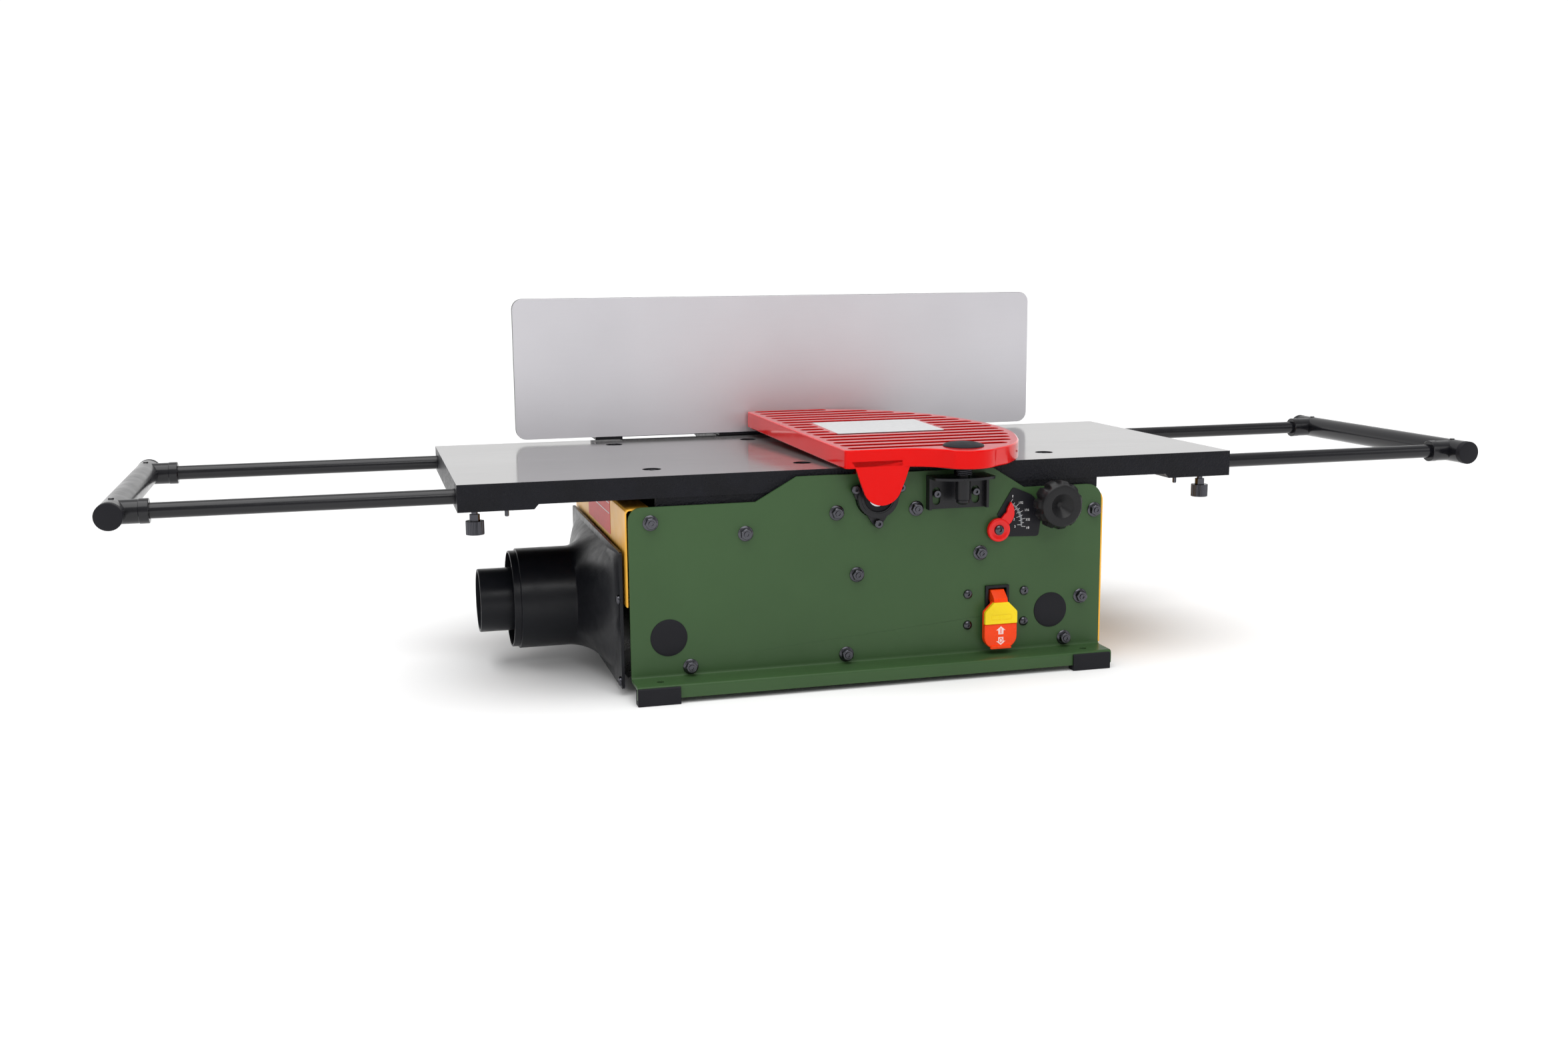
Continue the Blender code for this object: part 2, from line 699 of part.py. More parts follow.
def depth_drive():
    distance = math.hypot(KNOB_X - LIFT_X, KNOB_Z - LIFT_Z)
    toward = math.atan2(KNOB_Z - LIFT_Z, KNOB_X - LIFT_X)
    module = 2 * distance / (GEAR_TEETH + PINION_TEETH)
    gear_front, gear_back = 11.0, 19.0

    # The sector's teeth start just before the mesh point and run on as far as the shaft turns.
    pitch_angle = 2 * math.pi / GEAR_TEETH
    count = 9
    polar = involute_gear(GEAR_TEETH, module, toward - pitch_angle, count)
    outline = [(LIFT_X + r * math.cos(a), LIFT_Z + r * math.sin(a)) for r, a in polar]
    start, end = math.degrees(polar[0][1]), math.degrees(polar[-1][1])
    hub = arc((LIFT_X, LIFT_Z), 11, end + 20, start + 340, 12)
    bore = circle((LIFT_X, LIFT_Z), LIFT_SHAFT_RADIUS + GAP, 20)
    gear = prism("Y", gear_front, gear_back, outline + hub, bore)
    lift_axis = (LIFT_X, 0, LIFT_Z)
    gear = part("lift_sector_gear", gear, "machined_steel", lift_axis)

    # The pinion has a space where the sector's tooth points at it.
    polar = involute_gear(PINION_TEETH, module, toward + math.pi + math.pi / PINION_TEETH)
    outline = [(KNOB_X + r * math.cos(a), KNOB_Z + r * math.sin(a)) for r, a in polar]
    pinion = prism("Y", gear_front, gear_back, outline)
    knob_axis = (KNOB_X, 0, KNOB_Z)
    join(pinion, cylinder((KNOB_X, -26, KNOB_Z), (KNOB_X, gear_back + 4, KNOB_Z), 5.0, 20))
    knob_shaft = part("knob_shaft", pinion, "machined_steel", knob_axis)

    shafts = {}
    for name, x, front in (("inner_lift_shaft", LIFT_X, -5.4), ("outer_lift_shaft", OUTER_LIFT_X, -0.7)):
        shaft = cylinder((x, front, LIFT_Z), (x, REAR_FACE + 3, LIFT_Z), LIFT_SHAFT_RADIUS, 20)
        disc_x = x + ECCENTRICITY * math.cos(LIFT_TURN / 2)
        disc_z = LIFT_Z + ECCENTRICITY * math.sin(LIFT_TURN / 2)
        for near, far in ((1.0, 9.0), (mirrored(9.0), mirrored(1.0))):
            join(shaft, cylinder((disc_x, near, disc_z), (disc_x, far, disc_z), ECCENTRIC_RADIUS, 32))
        pin = crank_pin(x)
        join(shaft, prism("Y", 40, 45, belt_path((x, LIFT_Z), 9, pin, 6, 8)))
        join(shaft, cylinder((pin[0], 44, pin[1]), (pin[0], 51.5, pin[1]), 3.0, 16))
        shafts[name] = part(name, shaft, "machined_steel", (x, 0, LIFT_Z))

    first, last = crank_pin(LIFT_X), crank_pin(OUTER_LIFT_X)
    holes = (circle(first, 3.0 + GAP, 16), circle(last, 3.0 + GAP, 16))
    link = prism("Y", 45.0 + GAP, 50.0, belt_path(first, 6, last, 6, 8), *holes)
    link = part("lift_link", link, "machined_steel", (first[0], 0, first[1]))

    tip_angle = math.atan2(27.0, 12.1)
    tip = (LIFT_X + 29.6 * math.cos(tip_angle), LIFT_Z + 29.6 * math.sin(tip_angle))
    pointer = prism("Y", PLATE_FRONT - 5, PLATE_FRONT - 1.8, belt_path((LIFT_X, LIFT_Z), 11.7, tip, 0.6, 10))
    pointer = part("depth_pointer", pointer, "guard_red", lift_axis)

    knob = depth_knob(knob_axis)
    pivot_empty("lift_axis", lift_axis, [gear, shafts["inner_lift_shaft"], pointer])
    pivot_empty("knob_axis", knob_axis, [knob_shaft, knob])

    corners = [(145.5, -25.5), (168.5, -35), (175.3, -57.7), (173, -75.2), (140.2, -74), (129.3, -51.7)]
    plate = prism("Y", PLATE_FRONT - 1.1, PLATE_FRONT - GAP, rounded(corners, [3, 14, 12, 3, 3, 2]))
    part("depth_scale_plate", plate, "black_plastic")


def crank_pin(x):
    """Where a lift shaft's crank pin is at rest: straight down, less half the turn."""
    angle = -math.pi / 2 + LIFT_TURN / 2
    return (x + CRANK_LENGTH * math.cos(angle), LIFT_Z + CRANK_LENGTH * math.sin(angle))


def depth_knob(axis):
    """A ten-lobed moulded knob with a dished face."""
    lobes, points_per_lobe = 10, 6
    outline = []
    for i in range(lobes * points_per_lobe):
        angle = 2 * math.pi * i / (lobes * points_per_lobe)
        radius = KNOB_RADIUS - 1.0 + 1.0 * math.cos(lobes * angle)
        outline.append((KNOB_X + radius * math.cos(angle), KNOB_Z + radius * math.sin(angle)))
    knob = prism("Y", -29, -15, outline)
    face = [(0, 27), (8, 28.5), (11.5, 33), (17, 34), (20.5, 32), (21.8, 28.5), (21.8, 24), (0, 24)]
    join(knob, turned(axis, (0, -1, 0), face))
    cut(knob, turned(axis, (0, -1, 0), [(0, 40), (12, 40), (11.5, 33.2), (8, 28.7), (0, 27.2)]))
    join(knob, cylinder((KNOB_X, -15.5, KNOB_Z), (KNOB_X, -8, KNOB_Z), 11.0))
    cut(knob, cylinder((KNOB_X, -26.3, KNOB_Z), (KNOB_X, 0, KNOB_Z), 5.0 + GAP, 20))
    return part("depth_knob", knob, "black_plastic", axis)


# ---------------------------------------------------------------- guard


def guard_outline():
    """The pork-chop shape from above: straight left and fence sides, curved work side, round pivot lobe."""
    left = rounded([(-32.4, -26.0), (-44.0, 297.0), (36.0, 297.0), (36.0, -26.0)], [5, 5, 0, 0])[:-2]
    curve = three_point_arc((36.0, 297.0), (114.0, 257.0), (162.5, 176.0), 9)
    side = three_point_arc((162.5, 176.0), (175.8, 104.0), (160.5, 20.0), 8)
    corner = three_point_arc((160.5, 20.0), (144.0, -15.0), (117.0, -44.0), 5)
    lobe = arc((PIVOT_X, PIVOT_Y), 33.5, -42, -128, 7)
    hollow = three_point_arc(lobe[-1], (49.0, -35.0), (24.0, -26.0), 4)
    return left + curve[:-1] + side[:-1] + corner[:-1] + lobe + hollow[1:]


def three_point_arc(first, middle, last, steps):
    """Points on the circle through three points, from the first to the last."""
    a, b, c = Vector(first), Vector(middle), Vector(last)
    d = 2 * (a.x * (b.y - c.y) + b.x * (c.y - a.y) + c.x * (a.y - b.y))
    aa, bb, cc = a.length_squared, b.length_squared, c.length_squared
    x = (aa * (b.y - c.y) + bb * (c.y - a.y) + cc * (a.y - b.y)) / d
    y = (aa * (c.x - b.x) + bb * (a.x - c.x) + cc * (b.x - a.x)) / d
    centre = Vector((x, y))
    start = math.atan2(a.y - y, a.x - x)
    turn = math.atan2(c.y - y, c.x - x) - start
    wanted = math.atan2(b.y - y, b.x - x) - start
    full = 2 * math.pi
    turn, wanted = turn % full, wanted % full
    if wanted > turn:
        turn -= full
    radius = (a - centre).length
    return arc(centre, radius, math.degrees(start), math.degrees(start + turn), steps)


def tilted(obj):
    """Leans a guard piece about the pivot, so that its far end rides a little high."""
    pivot = FRAME @ Vector((PIVOT_X, PIVOT_Y, GUARD_TOP))
    lean = Matrix.Translation(pivot) @ Matrix.Rotation(GUARD_TILT, 4, "X") @ Matrix.Translation(-pivot)
    obj.data.transform(lean)
    return obj


def guard_parts():
    axis = (PIVOT_X, PIVOT_Y, 0)
    shape = bmesh.new()
    outline = guard_outline()
    top = [shape.verts.new((x, y, GUARD_TOP)) for x, y in outline]
    bottom = [shape.verts.new((x, y, GUARD_TOP - GUARD_DEPTH)) for x, y in outline]
    shape.faces.new(top)
    for i in range(len(top)):
        j = (i + 1) % len(top)
        shape.faces.new((top[i], bottom[i], bottom[j], top[j]))
    bmesh.ops.recalc_face_normals(shape, faces=shape.faces)
    shell = loose(mesh_of(shape))
    thick = shell.modifiers.new("thickness", "SOLIDIFY")
    thick.thickness = GUARD_WALL * 0.001
    thick.offset = -1.0
    thick.use_even_offset = True
    hub = tilted(cylinder((PIVOT_X, PIVOT_Y, 2.2), (PIVOT_X, PIVOT_Y, GUARD_TOP - 1.5), 12.0))
    nose = three_point_arc((-12.0, -23.0), (4.7, -34.1), (21.4, -23.0), 8)
    tab = [(-21.5, 7.0), (-17.2, -11.5)] + nose + [(26.8, -11.5), (31.0, 7.0)]
    tab = tilted(prism("Y", -26.0, -23.0, tab))
    join(tilted(shell), hub, tab)
    cut(shell, cylinder((PIVOT_X, PIVOT_Y, -9), (PIVOT_X, PIVOT_Y, 13), POST_RADIUS + 0.4, 20))
    guard = part("guard", shell, "guard_red", axis)

    dome = [(0, 2.6), (8, 2.3), (14, 1.6), (18, 0.9), (19.5, GAP), (0, GAP)]
    cap = tilted(turned((PIVOT_X, PIVOT_Y, GUARD_TOP), (0, 0, 1), dome))
    cap = part("guard_cap", cap, "black_plastic", axis)

    # The post carries the spring's cup, which turns inside the hollow lobe of the guard.
    cup = [(POST_RADIUS, 1.5), (CUP_BORE, 1.5), (CUP_BORE, 9.5), (CUP_RADIUS, 9.5), (CUP_RADIUS, GAP), (POST_RADIUS, GAP)]
    profile = [(0, 12.6), (POST_RADIUS, 12.6)] + cup
    profile += [(POST_RADIUS, -31.9), (6.3, -31.9), (6.3, -34.5), (4.0, -36.3), (0, -36.3)]
    post = part("guard_post", turned(axis, (0, 0, 1), profile, 32), "black_steel", axis)
    pivot_empty("guard_axis", axis, [guard, cap, post])

    left, right, back = 55.6, 116.8, PLATE_FRONT - GAP
    plate = prism(
        "Y",
        back - 2.5,
        back,
        rectangle(left, -42.8, right, -10.0),
        *(slot((x, -25.5), (x, -35.0), 3.9) for x in (65.3, 105.4)),
    )
    for x in (left, right - 2.5):
        join(plate, box((x, back - 9, -42.8), (x + 2.5, back - 1, -10.0)))
    middle = (left + right) / 2
    bow = three_point_arc((left + 2, -31.0), (middle, -39.5), (right - 2, -31.0), 8)
    shelf = [(left, back - 1), (left, -28.0)] + bow
    shelf += [(right, -28.0), (right, back - 1)]
    join(plate, prism("Z", -12.5, -10.0, shelf))
    join(plate, cylinder((PIVOT_X, PIVOT_Y, -31.6), (PIVOT_X, PIVOT_Y, -11.0), 7.2))
    cut(plate, cylinder((PIVOT_X, PIVOT_Y, -50), (PIVOT_X, PIVOT_Y, 0), POST_RADIUS + GAP, 20))
    part("guard_bracket", plate, "black_steel")
    part("guard_spring", spring((PIVOT_X, PIVOT_Y, -8.8), 7.6, 0.9, 7.9, 4, 12), "black_steel", axis)


def spring(base, radius, wire, height, turns, per_turn):
    """A coil spring standing on its base point."""
    curve = bpy.data.curves.new("helper", "CURVE")
    curve.dimensions = "3D"
    curve.bevel_depth = wire
    curve.bevel_resolution = 1
    curve.use_fill_caps = True
    steps = turns * per_turn
    spline = curve.splines.new("POLY")
    spline.points.add(steps)
    for i, point in enumerate(spline.points):
        angle = 2 * math.pi * i / per_turn
        rise = height * i / steps
        x, y = base[0] + radius * math.cos(angle), base[1] + radius * math.sin(angle)
        point.co = (x, y, base[2] + rise, 1.0)
    coil = bpy.data.objects.new("helper", curve)
    CUTTERS.objects.link(coil)
    return loose(baked(coil))


# ---------------------------------------------------------------- fence


def fence_parts():
    back = FENCE_FRONT + FENCE_THICKNESS
    outline = rounded(rectangle(FENCE_LEFT, FENCE_BOTTOM, FENCE_RIGHT, FENCE_TOP), 11.0, 5)
    tilt_axis = (0, TILT_Y, TILT_Z)
    fence = part("fence", prism("Y", FENCE_FRONT, back, outline), "fence_steel", tilt_axis)

    # The tilting bracket: back plate, hinge knuckle, and a wing with the arc slot that the tilt lock clamps.
    axis = (TILT_Y, TILT_Z)
    reach = TILT_LOCK_REACH
    bolt = (TILT_Y + reach * math.cos(TILT_LOCK_ANGLE), TILT_Z + reach * math.sin(TILT_LOCK_ANGLE))
    outline = [(-60, 22), (60, 22), (60, 74), (81, 74), (81, 112), (-60, 112)]
    plate = prism("Y", back + GAP, back + 4.3, rounded(outline, [6, 3, 3, 6, 6, 6], 3))
    web = [(back + GAP, 5.5), (TILT_Y, 5.5)] + arc(axis, 6.5, -90, 60, 5)
    web += [(back + 4.3, 30), (back + GAP, 30)]
    join(plate, prism("X", -34, 34, web))
    start, end = math.degrees(TILT_LOCK_ANGLE), math.degrees(TILT_LOCK_ANGLE) + 45
    low = (TILT_Y + reach * math.cos(TILT_LOCK_ANGLE), bolt[1])
    wing = arc(low, 6.3, start - 180, start, 6) + arc(axis, reach + 6.3, start + 6, end - 6, 5)
    wing += [(back + 30, 84), (back + 3, 111), (back + 3, 75)] + arc(axis, reach - 6.3, end + 9, start + 6, 6)
    join(plate, prism("X", 76, 81, wing))
    track = arc(axis, reach + 3.4, start - 4.6, end + 4.6, 8)
    track += arc(axis, reach - 3.4, end + 4.6, start - 4.6, 8)
    cut(plate, prism("X", 70, 90, track))
    cut(plate, cylinder((-99, TILT_Y, TILT_Z), (99, TILT_Y, TILT_Z), 3.3, 16))
    bracket = part("fence_tilt_bracket", plate, "cast_black", tilt_axis)
    pivot_empty("tilt_axis", tilt_axis, [fence, bracket])

    pin = cylinder((-46, TILT_Y, TILT_Z), (46, TILT_Y, TILT_Z), 3.0, 16)
    pin = part("fence_hinge_pin", pin, "machined_steel", tilt_axis)

    # The tilt lock: a lever nut outside the arc slot, on the stud of the carriage's post.
    lever = cylinder((81.4, *bolt), (91, *bolt), 7.0, 20)
    tip = (bolt[0] + 50, bolt[1] + 5)
    join(lever, prism("X", 83, 89, belt_path(bolt, 5.5, tip, 3.6, 6)))
    join(lever, ball((86, *tip), 7.0))
    part("fence_tilt_lock", lever, "black_plastic", (0, *bolt))

    # The carriage: deck with the slide groove, arms and pads under the fence, hinge ears and the lock's post.
    groove = [(-26, SLIDE_BOTTOM), (-29, 7.2), (29, 7.2), (26, SLIDE_BOTTOM)]
    deck = [(-75, SLIDE_BOTTOM), *groove, (73, SLIDE_BOTTOM), (73, 13), (-75, 13)]
    carriage = prism("Y", 326, CARRIAGE_BACK, deck)
    middle = (FENCE_LEFT + FENCE_RIGHT) / 2
    left_arm, right_arm = middle - 212, middle + 212
    for low, high in ((left_arm, -60), (58, right_arm)):
        join(carriage, box((low, 326.5, SLIDE_BOTTOM + 0.1), (high, 340, 12.5)))
    left_pad, right_pad = (left_arm + 0.1, left_arm + 30), (right_arm - 30, right_arm - 0.1)
    for low, high in (left_pad, (-74.5, -29.5), (29.5, 72.5), right_pad):
        join(carriage, box((low, FENCE_FRONT + 2, SLIDE_BOTTOM + 0.2), (high, 331, FENCE_BOTTOM - GAP)))
    for low, high in ((-43.5, -35.5), (35.5, 43.5)):
        ear = [(330, 2), (TILT_Y, 5.6)] + arc(axis, 6.4, 260, 80, 6) + [(330, 18.4), (337, 12), (337, 2)]
        join(carriage, prism("X", low, high, ear))
    cut(carriage, cylinder((-99, TILT_Y, TILT_Z), (99, TILT_Y, TILT_Z), 3.3, 16))
    post = [(bolt[0] + 14, 10), (bolt[0] - 10, 10)] + arc(bolt, 6.5, 180, -10, 8)
    join(carriage, prism("X", 65, 72.8, post))
    join(carriage, cylinder((70, *bolt), (81, *bolt), 3.0, 16))
    lock_y = CARRIAGE_BACK - 16
    cut(carriage, cylinder((0, lock_y, 0), (0, lock_y, 30), 4.4, 16))
    carriage = part("fence_carriage", carriage, "cast_black", (0, TILT_Y, SLIDE_BOTTOM))
    pivot_empty("fence_slide_axis", (0, lock_y, SLIDE_BOTTOM), [carriage, pin])

    handle = cylinder((0, lock_y, 7.2), (0, lock_y, 28), 4.0, 16)
    join(handle, cylinder((0, lock_y, 13.4), (0, lock_y, 27), 10))
    join(handle, prism("Z", 18, 24, belt_path((0, lock_y), 7, (-52, lock_y + 4), 4, 6)))
    join(handle, ball((-54, lock_y + 4.2, 21), 7.2))
    part("fence_slide_lock", handle, "black_plastic", (0, lock_y, 0))

    # The base bolted to the rear plate, with the dovetail way that the carriage slides on.
    top = 0.5
    way_end = CARRIAGE_BACK - 6
    key = [(-25.4, top - 1), (-28.3, 6.9), (28.3, 6.9), (25.4, top - 1)]
    base = box((-75, REAR_FACE + GAP, -5.9), (73, way_end, top))
    join(base, prism("Y", 324, way_end - 0.2, key))
    join(base, box((-74.8, REAR_FACE + 0.4, -62), (-28, REAR_FACE + 12, -5)))
    join(base, box((50, REAR_FACE + 0.4, -32), (72.8, REAR_FACE + 12, -5)))
    for low, high in ((-74.6, -68), (66, 72.6)):
        web = [(REAR_FACE + 5, -5), (way_end - 20, -5), (way_end - 20, -9), (REAR_FACE + 5, -31)]
        join(base, prism("X", low, high, web))
    part("fence_base", base, "cast_black")


def ball(centre, radius):
    shape = bmesh.new()
    place = Matrix.Translation(centre)
    bmesh.ops.create_uvsphere(shape, u_segments=14, v_segments=9, radius=radius, matrix=place)
    return loose(mesh_of(shape))


# ---------------------------------------------------------------- stock supports


def stock_supports():
    """A pull-out frame at each end: two rods, a cross bar with collars, and the thumb screw that locks it."""
    for end, side in (("left", -1), ("right", 1)):
        pieces = []
        for row, y in (("front", FRONT_ROD_Y), ("rear", REAR_ROD_Y)):
            rod = cylinder((side * ROD_INNER, y, ROD_Z), (side * 660, y, ROD_Z), ROD_RADIUS, 20)
            pieces.append(part(f"{end}_{row}_rod", rod, "black_steel", (side * ROD_INNER, y, ROD_Z)))
        x = side * BAR_X
        profile = [(0, 312), (10.5, 312), (BAR_RADIUS, 310), (BAR_RADIUS, 2), (10.5, 0), (0, 0)]
        bar = turned((x, 0, ROD_Z), (0, 1, 0), profile)
        for y in (FRONT_ROD_Y, REAR_ROD_Y):
            join(bar, cylinder((side * COLLAR_INNER, y, ROD_Z), (x, y, ROD_Z), 11.0))
            near, far = (side * (COLLAR_INNER - 9), y, ROD_Z), (side * 660.3, y, ROD_Z)
            cut(bar, cylinder(near, far, ROD_RADIUS + GAP, 20))
        pieces.append(part(f"{end}_cross_bar", bar, "black_steel", (x, 0, ROD_Z)))
        pivot_empty(f"{end}_support_axis", (side * ROD_INNER, FRONT_ROD_Y, ROD_Z), pieces)

        axis = (side * 368, FRONT_ROD_Y, 0)
        profile = [(0, -21.4), (2.9, -21.4), (2.9, -31), (4.75, -31), (4.75, -36.7), (8.3, -37.5)]
        profile += [(8.3, -48.5), (7, -50), (0, -50)]
        part(f"{end}_rod_lock", turned(axis, (0, 0, 1), profile, 16), "black_steel", axis)


# ---------------------------------------------------------------- dust outlet


def dust_hood():
    """A loft from the rectangular flange to the round outlet, as an open surface thickened inward."""
    count = 40

    def ring(x, half_y, half_z, middle_z, radius, square):
        """A loop of points that is a rectangle with rounded corners, or a circle."""
        points = []
        for i in range(count):
            angle = 2 * math.pi * (i + 0.5) / count
            c, s = math.cos(angle), math.sin(angle)
            if square:
                grow = min(half_y / abs(c), half_z / abs(s))
                y, z = c * grow, s * grow
            else:
                y, z = c * radius, s * radius
            points.append((x, HOOD_Y + y, middle_z + z))
        return points

    rings = [
        ring(-238.0, 150.0, 65.0, -135.0, 0, True),
        ring(-240.5, 150.0, 65.0, -135.0, 0, True),
        ring(-240.6, 139.0, 58.0, -136.0, 0, True),
        ring(HOOD_JOIN, 0, 0, HOOD_Z, HOOD_RADIUS, False),
        ring(HOOD_END + 7, 0, 0, HOOD_Z, HOOD_RADIUS, False),
        ring(HOOD_END + 6.5, 0, 0, HOOD_Z, HOOD_RADIUS - 2, False),
        ring(HOOD_END, 0, 0, HOOD_Z, HOOD_RADIUS - 2, False),
    ]
    shape = bmesh.new()
    loops = [[shape.verts.new(p) for p in points] for points in rings]
    for near, far in zip(loops, loops[1:]):
        for i in range(count):
            j = (i + 1) % count
            shape.faces.new((near[i], far[i], far[j], near[j]))
    bmesh.ops.recalc_face_normals(shape, faces=shape.faces)
    hood = loose(mesh_of(shape))
    thick = hood.modifiers.new("thickness", "SOLIDIFY")
    thick.thickness = 0.0022
    thick.offset = -1.0
    thick.use_even_offset = False
    part("dust_hood", hood, "black_plastic", sharp=30)

    # The reducer pushes into the outlet: a short plug, a web and the smaller pipe.
    inner = ADAPTER_RADIUS - 2.5
    plug = HOOD_RADIUS - 5.0
    profile = [
        (ADAPTER_RADIUS, ADAPTER_END),
        (ADAPTER_RADIUS, HOOD_END + 10),
        (plug, HOOD_END + 10),
        (plug, HOOD_END + 28),
        (plug - 2.5, HOOD_END + 28),
        (plug - 2.5, HOOD_END + 12.5),
        (inner, HOOD_END + 12.5),
        (inner, ADAPTER_END),
    ]
    axis = (0, HOOD_Y, HOOD_Z)
    part("dust_adapter", turned(axis, (1, 0, 0), profile, 40), "black_plastic", (HOOD_END, HOOD_Y, HOOD_Z))


# ---------------------------------------------------------------- switch


def switch_parts():
    x = SWITCH_X
    face = PLATE_FRONT
    window = rectangle(x - 9.5, -148.5, x + 9.5, -124.5)
    bezel = prism("Y", face - 3.0, face - GAP, rectangle(x - 12.3, -151.5, x + 12.3, -121.7), window)
    sleeve = prism("Y", face - 1, 30, rectangle(x - 10.7, -149.7, x + 10.7, -123.3), window)
    join(bezel, sleeve)
    join(bezel, box((x - 10.7, 10, -149.7), (x + 10.7, 30, -123.3)))
    part("switch_housing", bezel, "black_plastic")

    hinge = (0, SWITCH_HINGE_Y, SWITCH_HINGE_Z)
    half = [(17, -182.5), (17, -146), (8, -137)]
    low = [(x - 17, -182.5)] + [(x + a, z) for a, z in half] + [(x - a, z) for a, z in half[:0:-1]]
    low = rounded(low, [12, 12, 4, 1, 1, 4], 4)
    half = [(15.5, -158.3), (15.5, -148), (6.5, -138.7)]
    key_room = [(x + a, z) for a, z in half] + [(x - a, z) for a, z in reversed(half)]
    key_room = rounded(key_room, 1, 1)
    paddle = prism("Y", face - 12.5, face - 5.5, low)
    neck = [(face - 12.5, -137.5), (face - 11.0, -133), (face - 2, -126.0), (face + 6, -126.0)]
    neck += [(face + 6, -133), (face - 5.5, -143)]
    join(paddle, prism("X", x - 7.3, x + 7.3, neck))
    cut(paddle, prism("Y", face - 20, face - 9.4, key_room))
    cut(paddle, box((x - 5.3, face - 20, -152.3), (x + 5.3, face + 1, -146.7)))
    paddle = part("switch_paddle", paddle, "switch_red", hinge)

    key = [(x + (a - x) * 0.975, -149 + (b + 149) * 0.965) for a, b in key_room]
    key = prism("Y", face - 13.2, face - 9.4 - GAP, key)
    join(key, box((x - 5, face - 11, -152), (x + 5, face - 3.4, -147)))
    key = part("switch_key", key, "switch_yellow", hinge)
    pivot_empty("switch_axis", hinge, [paddle, key])


# ---------------------------------------------------------------- build


def build():
    side_plates()
    end_covers()
    feet()
    tie_rods()
    plugs()
    cord_gland()
    tables()
    cutterhead()
    drive()
    chip_chute()
    depth_drive()
    guard_parts()
    fence_parts()
    stock_supports()
    dust_hood()
    switch_parts()


build()
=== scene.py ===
"""Looks of the benchtop jointer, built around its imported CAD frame.

Places are written in millimetres in the tables' own frame, as in the CAD source: x runs along the tables from
their middle, y runs back from the tables' front edge, z runs up from the table top. FRAME turns them into the
row's metres.
"""

import math

import bmesh
import bpy
from mathutils import Matrix, Vector


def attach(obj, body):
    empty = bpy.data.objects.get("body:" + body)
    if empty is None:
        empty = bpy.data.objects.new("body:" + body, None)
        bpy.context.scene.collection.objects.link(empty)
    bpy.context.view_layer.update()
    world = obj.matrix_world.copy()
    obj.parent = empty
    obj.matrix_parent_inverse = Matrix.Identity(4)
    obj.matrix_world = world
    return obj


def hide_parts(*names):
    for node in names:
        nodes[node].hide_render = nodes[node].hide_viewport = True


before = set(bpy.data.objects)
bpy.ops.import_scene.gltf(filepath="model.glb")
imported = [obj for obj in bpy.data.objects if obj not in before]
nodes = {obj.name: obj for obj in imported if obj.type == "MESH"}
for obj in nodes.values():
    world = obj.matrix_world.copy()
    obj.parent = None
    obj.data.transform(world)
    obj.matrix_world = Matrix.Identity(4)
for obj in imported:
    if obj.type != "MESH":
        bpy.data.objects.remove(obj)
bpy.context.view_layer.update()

TABLE_HEIGHT = 206.5
TABLE_WIDTH = 312.0
MIDDLE_Y = 206.5
FRAME = Matrix.Scale(0.001, 4) @ Matrix.Translation((0.0, -MIDDLE_Y, TABLE_HEIGHT))

PLATE_FRONT = -4.0
REAR_FACE = TABLE_WIDTH - PLATE_FRONT
CUTTER_X, CUTTER_Z = 5.5, -27.7
PIVOT_X, PIVOT_Y = 85.0, -25.0
GUARD_TOP, GUARD_DEPTH = 19.6, 17.8
GUARD_TILT = math.radians(1.39)
GROOVE_DEPTH = 3.6
LIFT_X, LIFT_Z = 129.7, -66.4
KNOB_X, KNOB_Z = 185.0, -42.0
FENCE_FRONT = 301.0
SWITCH_X = 129.9
HOOD_Y, HOOD_Z = 156.0, -138.5
HOOD_FACE, HOOD_END = -238.0, -327.0
PIPE_RADIUS = 50.0
ROD_ROWS = {"front": 28.0, "rear": 284.0}
ROD_Z = -14.0
SMOOTH_BELOW = math.radians(26)

# ------------------------ mesh helpers


def mesh_of(shape):
    mesh = bpy.data.meshes.new("mesh")
    shape.to_mesh(mesh)
    shape.free()
    return mesh


def added(name, data):
    """A new object in the scene's collection."""
    obj = bpy.data.objects.new(name, data)
    bpy.context.scene.collection.objects.link(obj)
    return obj


def solid(mesh):
    """A mesh in millimetres as an object, which a piece() call then names or a cut uses up."""
    return added("solid", mesh)


def evaluated(obj):
    """A new mesh of what the object's modifiers or curve settings make."""
    bpy.context.view_layer.update()
    return bpy.data.meshes.new_from_object(obj.evaluated_get(bpy.context.evaluated_depsgraph_get()))


def template(obj):
    """The mesh of an object that is then dropped."""
    mesh = obj.data
    bpy.data.objects.remove(obj)
    return mesh


def baked(obj):
    """The object with its modifiers applied."""
    mesh = evaluated(obj)
    obj.modifiers.clear()
    obj.data = mesh
    return obj


def boolean(target, operation, others):
    for other in others:
        modifier = target.modifiers.new("boolean", "BOOLEAN")
        modifier.operation = operation
        modifier.solver = "EXACT"
        modifier.object = other
    baked(target)
    for other in others:
        bpy.data.objects.remove(other)
    return target


def cut(target, *others):
    return boolean(target, "DIFFERENCE", others)


def grouped(*objects):
    """Several solids as the separate shells of one piece."""
    shape = bmesh.new()
    for obj in objects:
        shape.from_mesh(obj.data)
        bpy.data.objects.remove(obj)
    return solid(mesh_of(shape))


def bevelled(obj, width, segments=2, angle=35.0):
    modifier = obj.modifiers.new("bevel", "BEVEL")
    modifier.width = width
    modifier.segments = segments
    modifier.limit_method = "ANGLE"
    modifier.angle_limit = math.radians(angle)
    return baked(obj)


